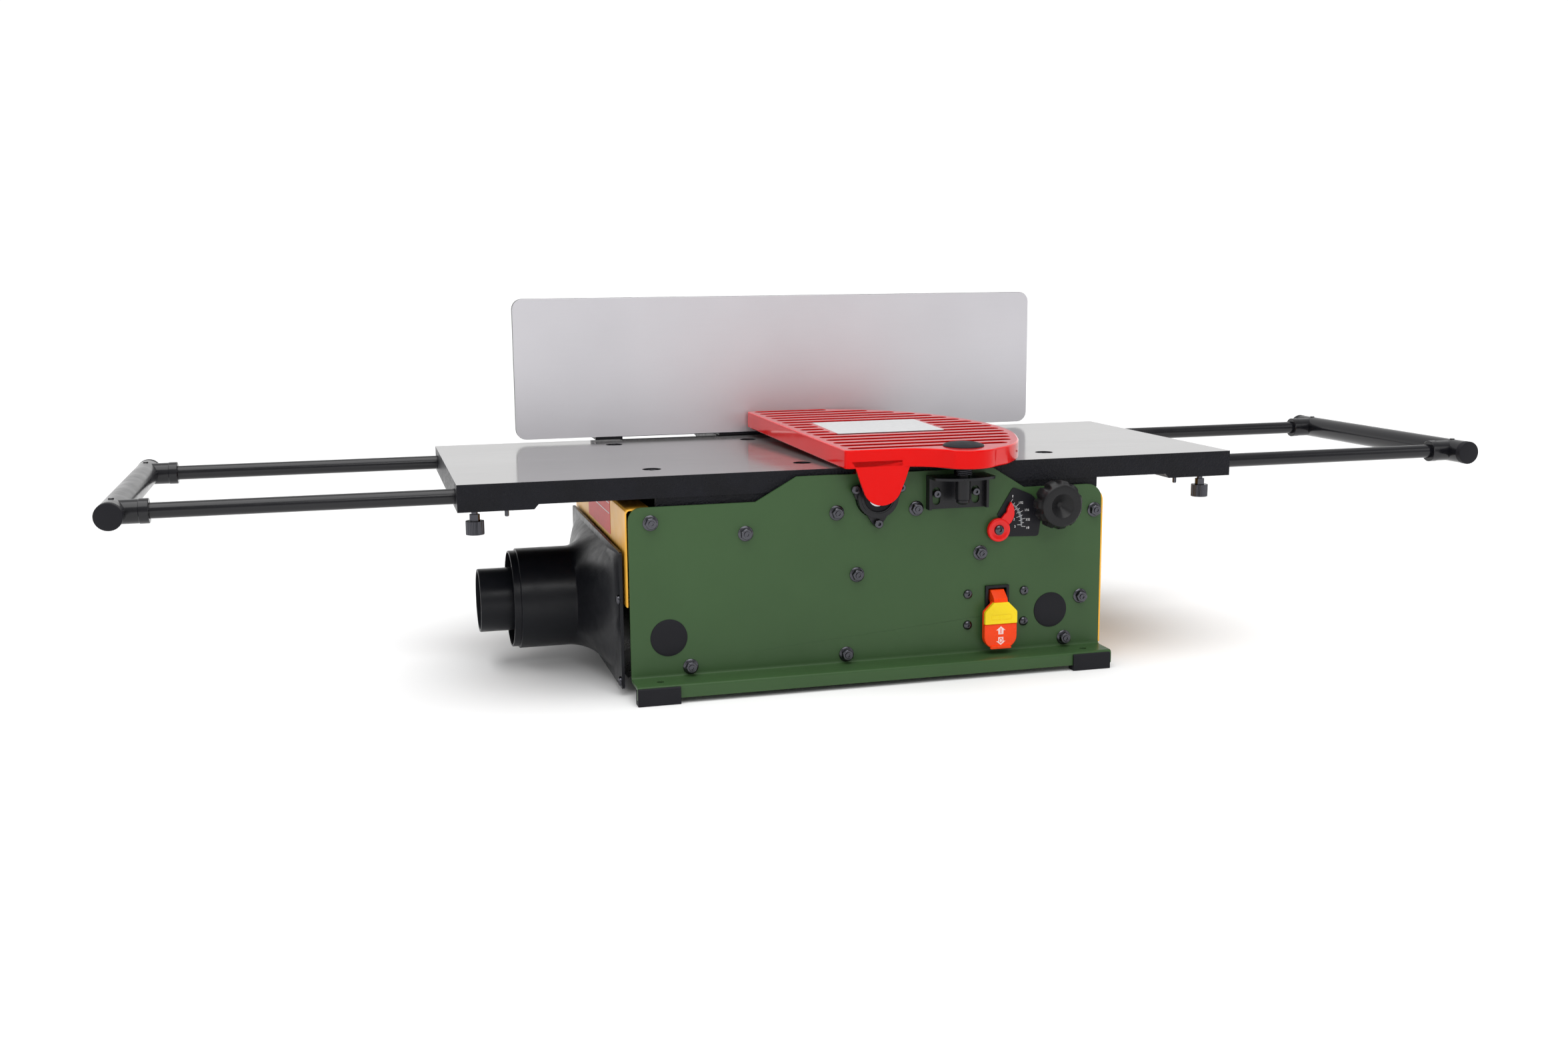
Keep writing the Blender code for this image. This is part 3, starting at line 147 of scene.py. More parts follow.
def box(low, high):
    low, high = Vector(low), Vector(high)
    shape = bmesh.new()
    size = Matrix.Diagonal((*(high - low), 1.0))
    bmesh.ops.create_cube(shape, size=1.0, matrix=Matrix.Translation((low + high) / 2) @ size)
    return solid(mesh_of(shape))


def cylinder(start, end, radius, segments=40):
    start, end = Vector(start), Vector(end)
    along = end - start
    shape = bmesh.new()
    bmesh.ops.create_cone(
        shape,
        cap_ends=True,
        segments=segments,
        radius1=radius,
        radius2=radius,
        depth=along.length,
        matrix=Matrix.Translation((start + end) / 2) @ along.to_track_quat("Z", "Y").to_matrix().to_4x4(),
    )
    return solid(mesh_of(shape))


AXES = {
    "X": Matrix(((0, 0, 1, 0), (1, 0, 0, 0), (0, 1, 0, 0), (0, 0, 0, 1))),
    "Y": Matrix(((1, 0, 0, 0), (0, 0, 1, 0), (0, 1, 0, 0), (0, 0, 0, 1))),
    "Z": Matrix.Identity(4),
}


def prism(axis, low, high, outline):
    """A flat outline extruded from low to high. Along X it is (y, z), along Y (x, z), along Z (x, y)."""
    shape = bmesh.new()
    place = AXES[axis]
    ends = [[shape.verts.new(place @ Vector((a, b, level))) for a, b in outline] for level in (low, high)]
    shape.faces.new(ends[0])
    shape.faces.new(ends[1][::-1])
    for i in range(len(outline)):
        j = (i + 1) % len(outline)
        shape.faces.new((ends[0][j], ends[0][i], ends[1][i], ends[1][j]))
    bmesh.ops.recalc_face_normals(shape, faces=shape.faces)
    return solid(mesh_of(shape))


def turned(centre, axis, profile, steps=48):
    """A profile of (radius, distance along the axis), turned about the axis. A ring's profile is closed."""
    shape = bmesh.new()
    rings = []
    for radius, distance in profile:
        if radius == 0:
            rings.append([shape.verts.new((0, 0, distance))] * steps)
            continue
        angles = [2 * math.pi * i / steps for i in range(steps)]
        points = [(radius * math.cos(a), radius * math.sin(a), distance) for a in angles]
        rings.append([shape.verts.new(point) for point in points])
    on_axis = profile[0][0] == 0 and profile[-1][0] == 0
    pairs = list(zip(rings, rings[1:])) + ([] if on_axis else [(rings[-1], rings[0])])
    bridge(shape, pairs)
    turn = Vector(axis).to_track_quat("Z", "Y").to_matrix().to_4x4()
    mesh = mesh_of(shape)
    mesh.transform(Matrix.Translation(centre) @ turn)
    return solid(mesh)


def ball(centre, radius, rings=18):
    angles = [math.pi * i / rings for i in range(1, rings)]
    profile = [(radius * math.sin(a), -radius * math.cos(a)) for a in angles]
    return turned(centre, (0, 0, 1), [(0, -radius), *profile, (0, radius)], 28)


def bridge(shape, pairs):
    """Faces between pairs of rings of as many points, where points that repeat make triangles."""
    for near, far in pairs:
        for i in range(len(near)):
            j = (i + 1) % len(near)
            corners = list(dict.fromkeys((near[i], near[j], far[j], far[i])))
            if len(corners) > 2:
                shape.faces.new(corners)
    bmesh.ops.recalc_face_normals(shape, faces=shape.faces)


def loft(rings, closed=False):
    """A skin over rings of points. It is closed by its two end rings' faces, or by joining last to first."""
    shape = bmesh.new()
    loops = [[shape.verts.new(p) for p in points] for points in rings]
    if not closed:
        shape.faces.new(loops[0])
        shape.faces.new(loops[-1])
    pairs = list(zip(loops, loops[1:])) + ([(loops[-1], loops[0])] if closed else [])
    bridge(shape, pairs)
    bmesh.ops.remove_doubles(shape, verts=shape.verts, dist=0.001)
    bmesh.ops.recalc_face_normals(shape, faces=shape.faces)
    return solid(mesh_of(shape))


def arc(centre, radius, start, end, steps):
    """Points on an arc, in degrees, both ends included."""
    angles = [math.radians(start + (end - start) * i / steps) for i in range(steps + 1)]
    return [(centre[0] + radius * math.cos(a), centre[1] + radius * math.sin(a)) for a in angles]


def slot_outline(first, second, radius, steps):
    angle = math.degrees(math.atan2(second[1] - first[1], second[0] - first[0]))
    far = arc(second, radius, angle - 90, angle + 90, steps)
    return far + arc(first, radius, angle + 90, angle + 270, steps)


def band_outline(first, first_radius, second, second_radius):
    """The outline of a band pulled round two circles."""
    steps = 12
    dx, dy = second[0] - first[0], second[1] - first[1]
    along = math.degrees(math.atan2(dy, dx))
    spread = math.degrees(math.acos((first_radius - second_radius) / math.hypot(dx, dy)))
    far = arc(second, second_radius, along - spread, along + spread, steps)
    return far + arc(first, first_radius, along + spread, along + 360 - spread, steps)


def rounded(points, radius, steps=6):
    """A polygon with its corners rounded. A radius may be given for each corner."""
    radii = radius if isinstance(radius, (list, tuple)) else [radius] * len(points)
    result = []
    for i, corner in enumerate(points):
        corner = Vector(corner)
        before = (Vector(points[i - 1]) - corner).normalized()
        after = (Vector(points[(i + 1) % len(points)]) - corner).normalized()
        if radii[i] == 0:
            result.append(tuple(corner))
            continue
        half = before.angle(after) / 2
        reach = radii[i] / math.tan(half)
        centre = corner + (before + after).normalized() * radii[i] / math.sin(half)
        first, last = corner + before * reach - centre, corner + after * reach - centre
        turn = first.angle_signed(last)
        for k in range(steps + 1):
            angle = -turn * k / steps
            c, s = math.cos(angle), math.sin(angle)
            result.append((centre[0] + c * first[0] - s * first[1], centre[1] + s * first[0] + c * first[1]))
    return result


def rectangle(left, bottom, right, top):
    return [(left, bottom), (right, bottom), (right, top), (left, top)]


def three_point_arc(first, middle, last, steps):
    """Points on the circle through three points, from the first to the last."""
    a, b, c = Vector(first), Vector(middle), Vector(last)
    d = 2 * (a.x * (b.y - c.y) + b.x * (c.y - a.y) + c.x * (a.y - b.y))
    aa, bb, cc = a.length_squared, b.length_squared, c.length_squared
    x = (aa * (b.y - c.y) + bb * (c.y - a.y) + cc * (a.y - b.y)) / d
    y = (aa * (c.x - b.x) + bb * (a.x - c.x) + cc * (b.x - a.x)) / d
    start = math.atan2(a.y - y, a.x - x)
    full = 2 * math.pi
    turn = (math.atan2(c.y - y, c.x - x) - start) % full
    if (math.atan2(b.y - y, b.x - x) - start) % full > turn:
        turn -= full
    radius = (a - Vector((x, y))).length
    return arc((x, y), radius, math.degrees(start), math.degrees(start + turn), steps)


def weighted(obj):
    """Shades by the larger faces, so that flats stay flat beside their rounded edges."""
    modifier = obj.modifiers.new("flats", "WEIGHTED_NORMAL")
    modifier.keep_sharp = True


def piece(name, obj, finish, body, replaces=(), sharp=35.0):
    """Names a finished solid, gives it its material and sets it on its CAD body."""
    obj.name = name
    obj.data.name = name
    obj.data.transform(FRAME)
    obj.data.materials.clear()
    obj.data.materials.append(finish)
    obj.data.shade_smooth()
    obj.data.set_sharp_from_angle(angle=math.radians(sharp))
    weighted(obj)
    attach(obj, body)
    if replaces:
        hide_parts(*replaces)
    return obj


# ------------------------ materials


def map_range(tree, value, start, end, low, high):
    node = tree.nodes.new("ShaderNodeMapRange")
    for name, number in (("From Min", start), ("From Max", end), ("To Min", low), ("To Max", high)):
        node.inputs[name].default_value = number
    tree.links.new(value, node.inputs["Value"])
    return node.outputs["Result"]


class Finish:
    """A material under construction: a Principled shader with procedural nodes in object space."""

    def __init__(self, name, colour, roughness, metallic=0.0):
        self.material = bpy.data.materials.new(name)
        self.material.use_nodes = True
        self.tree = self.material.node_tree
        self.shader = self.tree.nodes["Principled BSDF"]
        self.colour = colour
        self.roughness = roughness
        self.set(Base_Color=(*colour, 1.0), Roughness=roughness, Metallic=metallic)
        self.place = self.tree.nodes.new("ShaderNodeTexCoord").outputs["Object"]
        self.normal = None

    def set(self, **values):
        for name, value in values.items():
            self.shader.inputs[name.replace("_", " ")].default_value = value
        return self

    def node(self, kind, **values):
        made = self.tree.nodes.new(kind)
        for name, value in values.items():
            made.inputs[name.replace("_", " ")].default_value = value
        return made

    def link(self, source, target):
        self.tree.links.new(source, target)

    def noise(self, scale, detail=4.0, stretch=(1.0, 1.0, 1.0), rough=0.55):
        mapping = self.node("ShaderNodeMapping", Scale=stretch)
        noise = self.node("ShaderNodeTexNoise", Scale=scale, Detail=detail, Roughness=rough)
        self.link(self.place, mapping.inputs["Vector"])
        self.link(mapping.outputs["Vector"], noise.inputs["Vector"])
        return noise.outputs["Fac"]

    def ranged(self, noise, low, high):
        """Noise, which mostly lies between 0.3 and 0.7, brought to low and high."""
        return map_range(self.tree, noise, 0.3, 0.7, low, high)

    def mixed(self, factor, first, second):
        node = self.tree.nodes.new("ShaderNodeMix")
        node.data_type = "RGBA"
        for socket, value in ((node.inputs[6], first), (node.inputs[7], second)):
            if isinstance(value, tuple):
                socket.default_value = (*value, 1.0)
            else:
                self.link(value, socket)
        self.link(factor, node.inputs[0])
        return node.outputs[2]

    def bump(self, height, strength, distance):
        """Adds a bump in metres on top of those made before."""
        node = self.node("ShaderNodeBump", Strength=strength, Distance=distance)
        self.link(height, node.inputs["Height"])
        if self.normal:
            self.link(self.normal, node.inputs["Normal"])
        self.normal = node.outputs["Normal"]
        self.link(self.normal, self.shader.inputs["Normal"])
        return self

    def patchy(self, scale, amount, roughness_amount):
        """Slow variation of colour and roughness."""
        noise = self.noise(scale, 3.0)
        dark = tuple(c * (1 - amount) for c in self.colour)
        light = tuple(min(1.0, c * (1 + amount)) for c in self.colour)
        low, high = self.roughness - roughness_amount, self.roughness + roughness_amount
        self.varied(noise, dark, light)
        self.uneven(self.noise(scale * 6), max(0.02, low), high)
        return self

    def varied(self, noise, dark, light):
        """Noise as a base colour between two colours."""
        self.link(self.mixed(self.ranged(noise, 0.0, 1.0), dark, light), self.shader.inputs["Base Color"])

    def uneven(self, noise, low, high):
        """Noise as a roughness from low to high."""
        self.link(self.ranged(noise, low, high), self.shader.inputs["Roughness"])


def painted(name, colour, roughness=0.38, shine=0.22):
    """Powder coat or enamel: an even colour with a fine orange peel."""
    finish = Finish(name, colour, roughness).patchy(9.0, 0.05, 0.05).set(Specular_IOR_Level=shine)
    finish.bump(finish.noise(900.0, 2.0), 0.10, 0.00012)
    finish.bump(finish.noise(140.0, 2.0), 0.06, 0.0004)
    return finish.material


def moulded(name, colour, roughness=0.42, texture=0.25, shine=0.22):
    """Moulded plastic with a fine matt grain."""
    finish = Finish(name, colour, roughness).patchy(14.0, 0.12, 0.06).set(Specular_IOR_Level=shine)
    finish.bump(finish.noise(2200.0, 2.0), texture, 0.00006)
    finish.bump(finish.noise(60.0, 2.0), 0.05, 0.0006)
    return finish.material


def machined(name, colour, roughness, stretch, lines, patch=0.05):
    """Bare metal with fine lines, long where the stretch is small."""
    finish = Finish(name, colour, roughness, 1.0).patchy(7.0, patch, 0.05)
    finish.bump(finish.noise(420.0, 3.0, stretch), lines, 0.00003)
    return finish.material


def rough_cast():
    """Painted casting: lumpy sand-cast skin with fine grit."""
    finish = Finish("rough_cast_black", (0.003, 0.0032, 0.006), 0.34).patchy(30.0, 0.35, 0.1)
    finish.set(Specular_IOR_Level=0.2)
    finish.bump(finish.noise(520.0, 4.0, rough=0.6), 1.0, 0.0011)
    finish.bump(finish.noise(110.0, 2.0), 0.5, 0.0012)
    return finish.material


def ground_table():
    """Ground and polished table top: faint lines along the feed, cloudy roughness."""
    finish = Finish("ground_table_top", (0.70, 0.69, 0.69), 0.14, 0.8)
    finish.set(Specular_Tint=(0.62, 0.62, 0.62, 1.0))
    finish.varied(finish.noise(5.0, 3.0, (0.5, 1.4, 1.0)), (0.66, 0.65, 0.65), (0.74, 0.73, 0.73))
    lines = finish.noise(700.0, 3.0, (0.02, 1.0, 1.0))
    finish.uneven(lines, 0.09, 0.17)
    finish.bump(lines, 0.08, 0.00002)
    return finish.material


def fence_face():
    """Satin ground plate, slightly cloudy."""
    finish = Finish("fence_ground_face", (0.62, 0.61, 0.64), 0.42, 0.8)
    finish.varied(finish.noise(3.5, 3.0), (0.60, 0.59, 0.62), (0.67, 0.66, 0.69))
    lines = finish.noise(900.0, 3.0, (0.02, 1.0, 1.0))
    finish.uneven(lines, 0.36, 0.46)
    finish.bump(lines, 0.10, 0.00003)
    return finish.material


def gloss_red(name, colour):
    """Glossy red enamel over a smooth casting."""
    finish = Finish(name, colour, 0.17).patchy(8.0, 0.04, 0.03)
    finish.set(Coat_Weight=0.8, Coat_Roughness=0.04, Coat_IOR=1.2, Specular_IOR_Level=0.25)
    finish.set(Specular_Tint=(1.0, 0.18, 0.15, 1.0))
    finish.bump(finish.noise(220.0, 2.0), 0.05, 0.0003)
    return finish.material


def flat_print(name, colour, roughness=0.5):
    """Screen-printed ink."""
    return Finish(name, colour, roughness).patchy(200.0, 0.06, 0.05).material


GREEN = painted("green_powder_coat", (0.040, 0.086, 0.031), 0.34, 0.24)
GOLD = painted("gold_paint", (0.90, 0.46, 0.05), 0.36, 0.3)
CAST = rough_cast()
TABLE_TOP = ground_table()
FENCE_FACE = fence_face()
RED = gloss_red("guard_gloss_red", (0.66, 0.001, 0.001))
# A darker copy of the guard red: painted shade for the groove walls and floors, where the real red paint only
# lies in shadow.
GROOVE_SHADE_RED = gloss_red("guard_groove_painted_shade", (0.26, 0.0005, 0.0005))
POINTER_RED = painted("pointer_red", (0.70, 0.002, 0.002), 0.22, 0.4)
PLASTIC = moulded("black_plastic", (0.007, 0.0075, 0.010), 0.34)
KNOB_PLASTIC = moulded("knob_plastic", (0.012, 0.012, 0.013), 0.34, 0.2)
RUBBER = moulded("black_rubber", (0.012, 0.012, 0.015), 0.5, 0.4, 0.14)
BLACK_PAINT = painted("black_enamel", (0.008, 0.008, 0.010), 0.30, 0.3)
BLACK_OXIDE = machined("black_oxide", (0.075, 0.075, 0.085), 0.24, (1.0, 1.0, 1.0), 0.2, 0.2)
BLACK_TUBE = painted("black_tube", (0.006, 0.006, 0.008), 0.22, 0.4)
SCALE_BLACK = painted("scale_black", (0.008, 0.008, 0.011), 0.45)
STEEL = machined("machined_steel", (0.50, 0.50, 0.52), 0.28, (1.0, 0.03, 1.0), 0.25)
TURNED = machined("turned_steel", (0.56, 0.56, 0.58), 0.24, (1.0, 6.0, 1.0), 0.2)
CARBIDE = machined("ground_carbide", (0.38, 0.38, 0.40), 0.20, (1.0, 1.0, 1.0), 0.1)
ALUMINIUM = machined("cast_aluminium", (0.60, 0.60, 0.62), 0.42, (1.0, 1.0, 1.0), 0.35, 0.08)
BELT = moulded("belt_rubber", (0.014, 0.014, 0.015), 0.65, 0.5)
SWITCH_RED = moulded("switch_red", (0.90, 0.055, 0.003), 0.28, 0.08)
SWITCH_YELLOW = moulded("switch_yellow", (0.90, 0.66, 0.010), 0.28, 0.08)
NAMEPLATE = flat_print("blank_nameplate", (0.58, 0.59, 0.59), 0.35)
WHITE_INK = flat_print("white_ink", (0.80, 0.80, 0.80))
GREY_INK = flat_print("grey_ink", (0.16, 0.17, 0.18))
LABEL_RED = flat_print("blank_label", (0.72, 0.05, 0.04))
PINK_INK = flat_print("pale_arrow_ink", (0.85, 0.62, 0.60))

# ------------------------ carried-over CAD nodes


def softening():
    """A node group that shades smooth below an angle and keeps sharper edges crisp."""
    group = bpy.data.node_groups.new("smooth_by_angle", "GeometryNodeTree")
    group.interface.new_socket("Geometry", in_out="INPUT", socket_type="NodeSocketGeometry")
    group.interface.new_socket("Geometry", in_out="OUTPUT", socket_type="NodeSocketGeometry")
    start = group.nodes.new("NodeGroupInput")
    end = group.nodes.new("NodeGroupOutput")
    faces = group.nodes.new("GeometryNodeSetShadeSmooth")
    edges = group.nodes.new("GeometryNodeSetShadeSmooth")
    edges.domain = "EDGE"
    edges.inputs["Shade Smooth"].default_value = False
    angle = group.nodes.new("GeometryNodeInputMeshEdgeAngle")
    compare = group.nodes.new("FunctionNodeCompare")
    compare.inputs[1].default_value = SMOOTH_BELOW
    group.links.new(start.outputs[0], faces.inputs["Geometry"])
    group.links.new(faces.outputs[0], edges.inputs["Geometry"])
    group.links.new(angle.outputs["Unsigned Angle"], compare.inputs[0])
    group.links.new(compare.outputs[0], edges.inputs["Selection"])
    group.links.new(edges.outputs[0], end.inputs[0])
    return group


SMOOTH = softening()


def carried(name, finish, edge):
    """A CAD node with welded, flat faces, rounded edges and its finish."""
    obj = nodes[name]
    mesh = obj.data
    if mesh.has_custom_normals:
        mesh.attributes.remove(mesh.attributes["custom_normal"])
    mesh.materials.clear()
    mesh.materials.append(finish)
    weld = obj.modifiers.new("weld", "WELD")
    weld.merge_threshold = 0.00001
    flat = obj.modifiers.new("flat", "DECIMATE")
    flat.decimate_type = "DISSOLVE"
    flat.angle_limit = math.radians(0.3)
    flat.delimit = {"MATERIAL"}
    bevel = obj.modifiers.new("edge", "BEVEL")
    bevel.width = edge
    bevel.segments = 2
    bevel.limit_method = "ANGLE"
    bevel.angle_limit = math.radians(40)
    bevel.miter_outer = "MITER_ARC"
    smooth = obj.modifiers.new("smooth", "NODES")
    smooth.node_group = SMOOTH
    weighted(obj)


def faces_finished(obj, finish, chosen):
    """A second finish on the faces of a CAD node that the test picks by centre and normal."""
    obj.data.materials.append(finish)
    for face in obj.data.polygons:
        face.material_index = 1 if chosen(face.center, face.normal) else 0


CARRIED = (
    (("front_side_plate", "rear_side_plate"), GREEN, "green_paint", 0.0008),
    (("left_end_cover", "right_end_cover"), GOLD, "gold_paint", 0.0002),
    (("outfeed_table", "infeed_table"), CAST, "table_iron", 0.0004),
    (("fence",), BLACK_PAINT, "fence_steel", 0.0007),
    (("fence_base", "fence_carriage", "fence_tilt_bracket"), CAST, "black_casting", 0.0006),
    (("fence_hinge_pin", "inner_lift_shaft", "outer_lift_shaft"), STEEL, "machined_steel", 0.0002),
    (("lift_link", "lift_sector_gear", "knob_shaft"), STEEL, "machined_steel", 0.0002),
    (("motor_rotor", "front_bearing", "rear_bearing"), TURNED, "machined_steel", 0.0003),
    (("motor_housing", "cutterhead_pulley", "motor_pulley"), ALUMINIUM, "motor_aluminium", 0.0004),
    (("front_bearing_flange", "rear_bearing_flange", "guard_bracket"), BLACK_PAINT, "black_steel", 0.0004),
    (("guard_post", "chip_chute"), BLACK_PAINT, "black_steel", 0.0004),
    (("belt_cover", "switch_housing", "cord_gland"), PLASTIC, "black_plastic", 0.0004),
    (("front_left_foot", "front_right_foot", "rear_left_foot", "rear_right_foot"), RUBBER, "rubber", 0.0011),
    (("depth_scale_plate",), SCALE_BLACK, "scale_plate", 0.0001),
    (("drive_belt",), BELT, "rubber", 0.0003),
)


def carry_over():
    for names, finish, slot, edge in CARRIED:
        for name in names:
            carried(name, finish, edge)
    top = (TABLE_HEIGHT - 0.1) / 1000
    for name in ("outfeed_table", "infeed_table"):
        faces_finished(nodes[name], TABLE_TOP, lambda c, n: n.z > 0.9 and c.z > top)
    front = (FENCE_FRONT - MIDDLE_Y + 0.5) / 1000
    faces_finished(nodes["fence"], FENCE_FACE, lambda c, n: n.y < -0.9 and c.y < front)


# ------------------------ fasteners

MOTOR_X, MOTOR_Z = 120, -136
RIGHT_FACE = 243.0
FLANGE_NUTS = ((-212.7, -42.4), (-123.1, -57.0), (-34.1, -42.0), (45.6, -41.7), (232.9, -52.0))
FLANGE_NUTS += ((-14.1, -102.5), (112.2, -88.6), (-24.7, -179.7), (219.7, -138.4))
NO_REAR_NUT = 3
TIE_RODS = {"left_tie_rod": (-177.4, -180.0), "right_tie_rod": (202.8, -179.6)}
SWITCH_SCREWS = ((99.8, -129.2), (99.9, -160.1), (159.2, -129.2), (159.1, -160.1))
BEARING_SCREWS = ((-17.2, -19.8), (28.2, -19.8), (5.6, -53.6))
BRACKET_SCREWS = ((65.3, -28.1), (105.4, -27.6))
HOOD_SCREWS = ((10.5, -115), (10.5, -193), (301.5, -115), (301.5, -193))
COVER_SCREWS = ((12, -66), (12, -160), (300, -66), (300, -160))
BASE_SCREWS = ((-62, -40), (-40, -20), (62, -20))
FENCE_SCREWS = ((-48, 40), (48, 40), (-48, 96), (48, 96))
TABLE_SCREWS = (("frame_body", (-200, -52)), ("infeed", (63, 203)))


def hexagon(across, turn):
    radius = across / 2 / math.cos(math.pi / 6)
    angles = [turn + math.pi * i / 3 for i in range(6)]
    return [(radius * math.cos(a), radius * math.sin(a)) for a in angles]


def flange_nut(turn):
    """A flange nut with the socketed end of its stud, seated at the origin and facing -Y."""
    profile = [(0, 0.05), (7.2, 0.05), (7.3, 0.8), (6.9, 1.3), (5.4, 1.9), (0, 1.9)]
    washer = turned((0, 0, 0), (0, -1, 0), profile)
    nut = prism("Y", -6.4, -1.5, hexagon(10.0, turn))
    dome = turned((0, 0, 0), (0, -1, 0), [(0, 0.5), (7.4, 0.5), (7.4, 4.6), (4.4, 6.5), (0, 6.5)], 36)
    nut = boolean(nut, "INTERSECT", [dome])
    nut = bevelled(nut, 0.15, 1)
    stud = cylinder((0, 0, 0), (0, -7.4, 0), 3.0, 24)
    stud = bevelled(stud, 0.4, 2)
    cut(stud, prism("Y", -9, -5.6, hexagon(3.0, turn)))
    return template(grouped(washer, nut, stud))


def button_screw(radius, height, socket):
    """A button-head socket screw seated at the origin and facing -Y."""
    profile = [(0, 0.05), (radius, 0.05), (radius * 0.99, height * 0.25)]
    profile += [(radius * math.cos(a), height * (0.25 + 0.75 * math.sin(a))) for a in (0.45, 0.8, 1.1, 1.3)]
    head = turned((0, 0, 0), (0, -1, 0), profile + [(0, height)], 40)
    cut(head, prism("Y", -height - 1, -height * 0.35, hexagon(socket, 0.3)))
    return template(head)


def cap_screw(radius, height, socket):
    """A socket cap screw seated at the origin and facing -Y."""
    profile = [(0, 0.05), (radius, 0.05), (radius, height - 0.5), (radius - 0.5, height), (0, height)]
    head = turned((0, 0, 0), (0, -1, 0), profile, 40)
    cut(head, prism("Y", -height - 1, -height * 0.4, hexagon(socket, 0.2)))
    return template(head)


def fastener(name, mesh, point, body, facing=(0, -1, 0)):
    """A copy of a fastener's mesh at a point, turned from -Y to face the given way."""
    copy = mesh.copy()
    turn = Vector((0, -1, 0)).rotation_difference(Vector(facing)).to_matrix().to_4x4()
    copy.transform(Matrix.Translation(point) @ turn)
    piece(name, solid(copy), BLACK_OXIDE, body, sharp=30)


def fasteners(name, mesh, places, facing, body="frame_body"):
    for i, place in enumerate(places):
        fastener(f"{name}_{i + 1}", mesh, place, body, facing)


def plate_fasteners():
    nuts = [flange_nut(turn) for turn in (0.1, 0.55, 0.9)]
    for i, (x, z) in enumerate(FLANGE_NUTS):
        fastener(f"front_flange_nut_{i + 1}", nuts[i % 3], (x, PLATE_FRONT, z), "frame_body")
        if i != NO_REAR_NUT:
            fastener(f"rear_flange_nut_{i + 1}", nuts[i % 3], (x, REAR_FACE, z), "frame_body", (0, 1, 0))
    for i, (name, (x, z)) in enumerate(TIE_RODS.items()):
        rod = cylinder((x, PLATE_FRONT - 5, z), (x, REAR_FACE + 5, z), 3.9)
        front, rear = solid(nuts[i].copy()), solid(nuts[i + 1].copy())
        front.data.transform(Matrix.Translation((x, PLATE_FRONT, z)))
        rear.data.transform(Matrix.Translation((x, REAR_FACE, z)) @ Matrix.Rotation(math.pi, 4, "Z"))
        whole = grouped(rod, front, rear)
        piece(f"{name}_with_nuts", whole, BLACK_OXIDE, "frame_body", (name,), 30)

    button = button_screw(4.6, 2.8, 2.6)
    socket = cap_screw(4.2, 4.4, 3.2)
    small = cap_screw(3.8, 3.4, 2.8)
    to_front, to_back, to_left, to_right = (0, -1, 0), (0, 1, 0), (-1, 0, 0), (1, 0, 0)
    fasteners("switch_screw", button, [(x, PLATE_FRONT, z) for x, z in SWITCH_SCREWS], to_front)
    fasteners("bearing_screw", socket, [(x, PLATE_FRONT - 4.3, z) for x, z in BEARING_SCREWS], to_front)
    fasteners("guard_bracket_screw", small, [(x, PLATE_FRONT - 2.8, z) for x, z in BRACKET_SCREWS], to_front)
    fasteners("hood_screw", button, [(HOOD_FACE - 3.2, y, z) for y, z in HOOD_SCREWS], to_left)
    fasteners("right_cover_screw", button, [(RIGHT_FACE, y, z) for y, z in COVER_SCREWS], to_right)
    angles = [math.radians(a) for a in (35, 125, 215, 305)]
    places = [(MOTOR_X + 36 * math.cos(a), REAR_FACE, MOTOR_Z + 36 * math.sin(a)) for a in angles]
    fasteners("motor_screw", button, places, to_back)
    fasteners("fence_base_screw", socket, [(x, REAR_FACE + 12, z) for x, z in BASE_SCREWS], to_back)
    places = [(x, FENCE_FRONT + 12.4, z) for x, z in FENCE_SCREWS]
    fasteners("fence_screw", socket, places, to_back, "fence")
    flush = cap_screw(6.2, 2.0, 4.6)
    for body, xs in TABLE_SCREWS:
        for x in xs:
            for row, y in (("front", 50), ("rear", TABLE_WIDTH - 50)):
                side = "left" if x < 0 else "right"
                name = f"table_screw_{side}_{abs(x)}_{row}"
                fastener(name, flush, (x, y, -3.0), body, (0, 0, 1))


# ------------------------ guard


def guard_outline():
    """The pork-chop shape from above: straight left and fence sides, curved work side, round pivot lobe."""
    left = rounded([(-32.4, -26.0), (-44.0, 297.0), (36.0, 297.0), (36.0, -26.0)], [4, 4, 0, 0], 4)[:-2]
    curve = three_point_arc((36.0, 297.0), (114.0, 257.0), (162.5, 176.0), 14)
    side = three_point_arc((162.5, 176.0), (175.8, 104.0), (160.5, 20.0), 12)
    corner = three_point_arc((160.5, 20.0), (144.0, -15.0), (117.0, -44.0), 8)
    lobe = arc((PIVOT_X, PIVOT_Y), 33.5, -42, -128, 14)
    hollow = three_point_arc(lobe[-1], (49.0, -35.0), (24.0, -26.0), 6)
    return left + curve[:-1] + side[:-1] + corner[:-1] + lobe + hollow[1:]


def inset(outline, distance):
    """An outline moved inward, for one that runs clockwise."""
    moved = []
    for i, point in enumerate(outline):
        before, after = Vector(outline[i - 1]), Vector(outline[(i + 1) % len(outline)])
        along = (after - before).normalized()
        moved.append((point[0] + along.y * distance, point[1] - along.x * distance))
    return moved


def width_at(outline, y):
    """How far right the outline reaches at this y."""
    reach = []
    for (x1, y1), (x2, y2) in zip(outline, outline[1:] + outline[:1]):
        if min(y1, y2) <= y <= max(y1, y2) and y1 != y2:
            reach.append(x1 + (x2 - x1) * (y - y1) / (y2 - y1))
    return max(reach)


def left_at(y):
    """The guard's straight left side at this y."""
    return -32.4 - 11.6 * (y + 26.0) / 323.0


def leaned(obj):
    """Leans a guard piece about the pivot, so that its far end rides a little high."""
    pivot = Vector((PIVOT_X, PIVOT_Y, GUARD_TOP))
    lean = Matrix.Rotation(GUARD_TILT, 4, "X")
    obj.data.transform(Matrix.Translation(pivot) @ lean @ Matrix.Translation(-pivot))
    return obj


PLATE_AREA = (-3.5, 88.0, 110.0, 178.0)


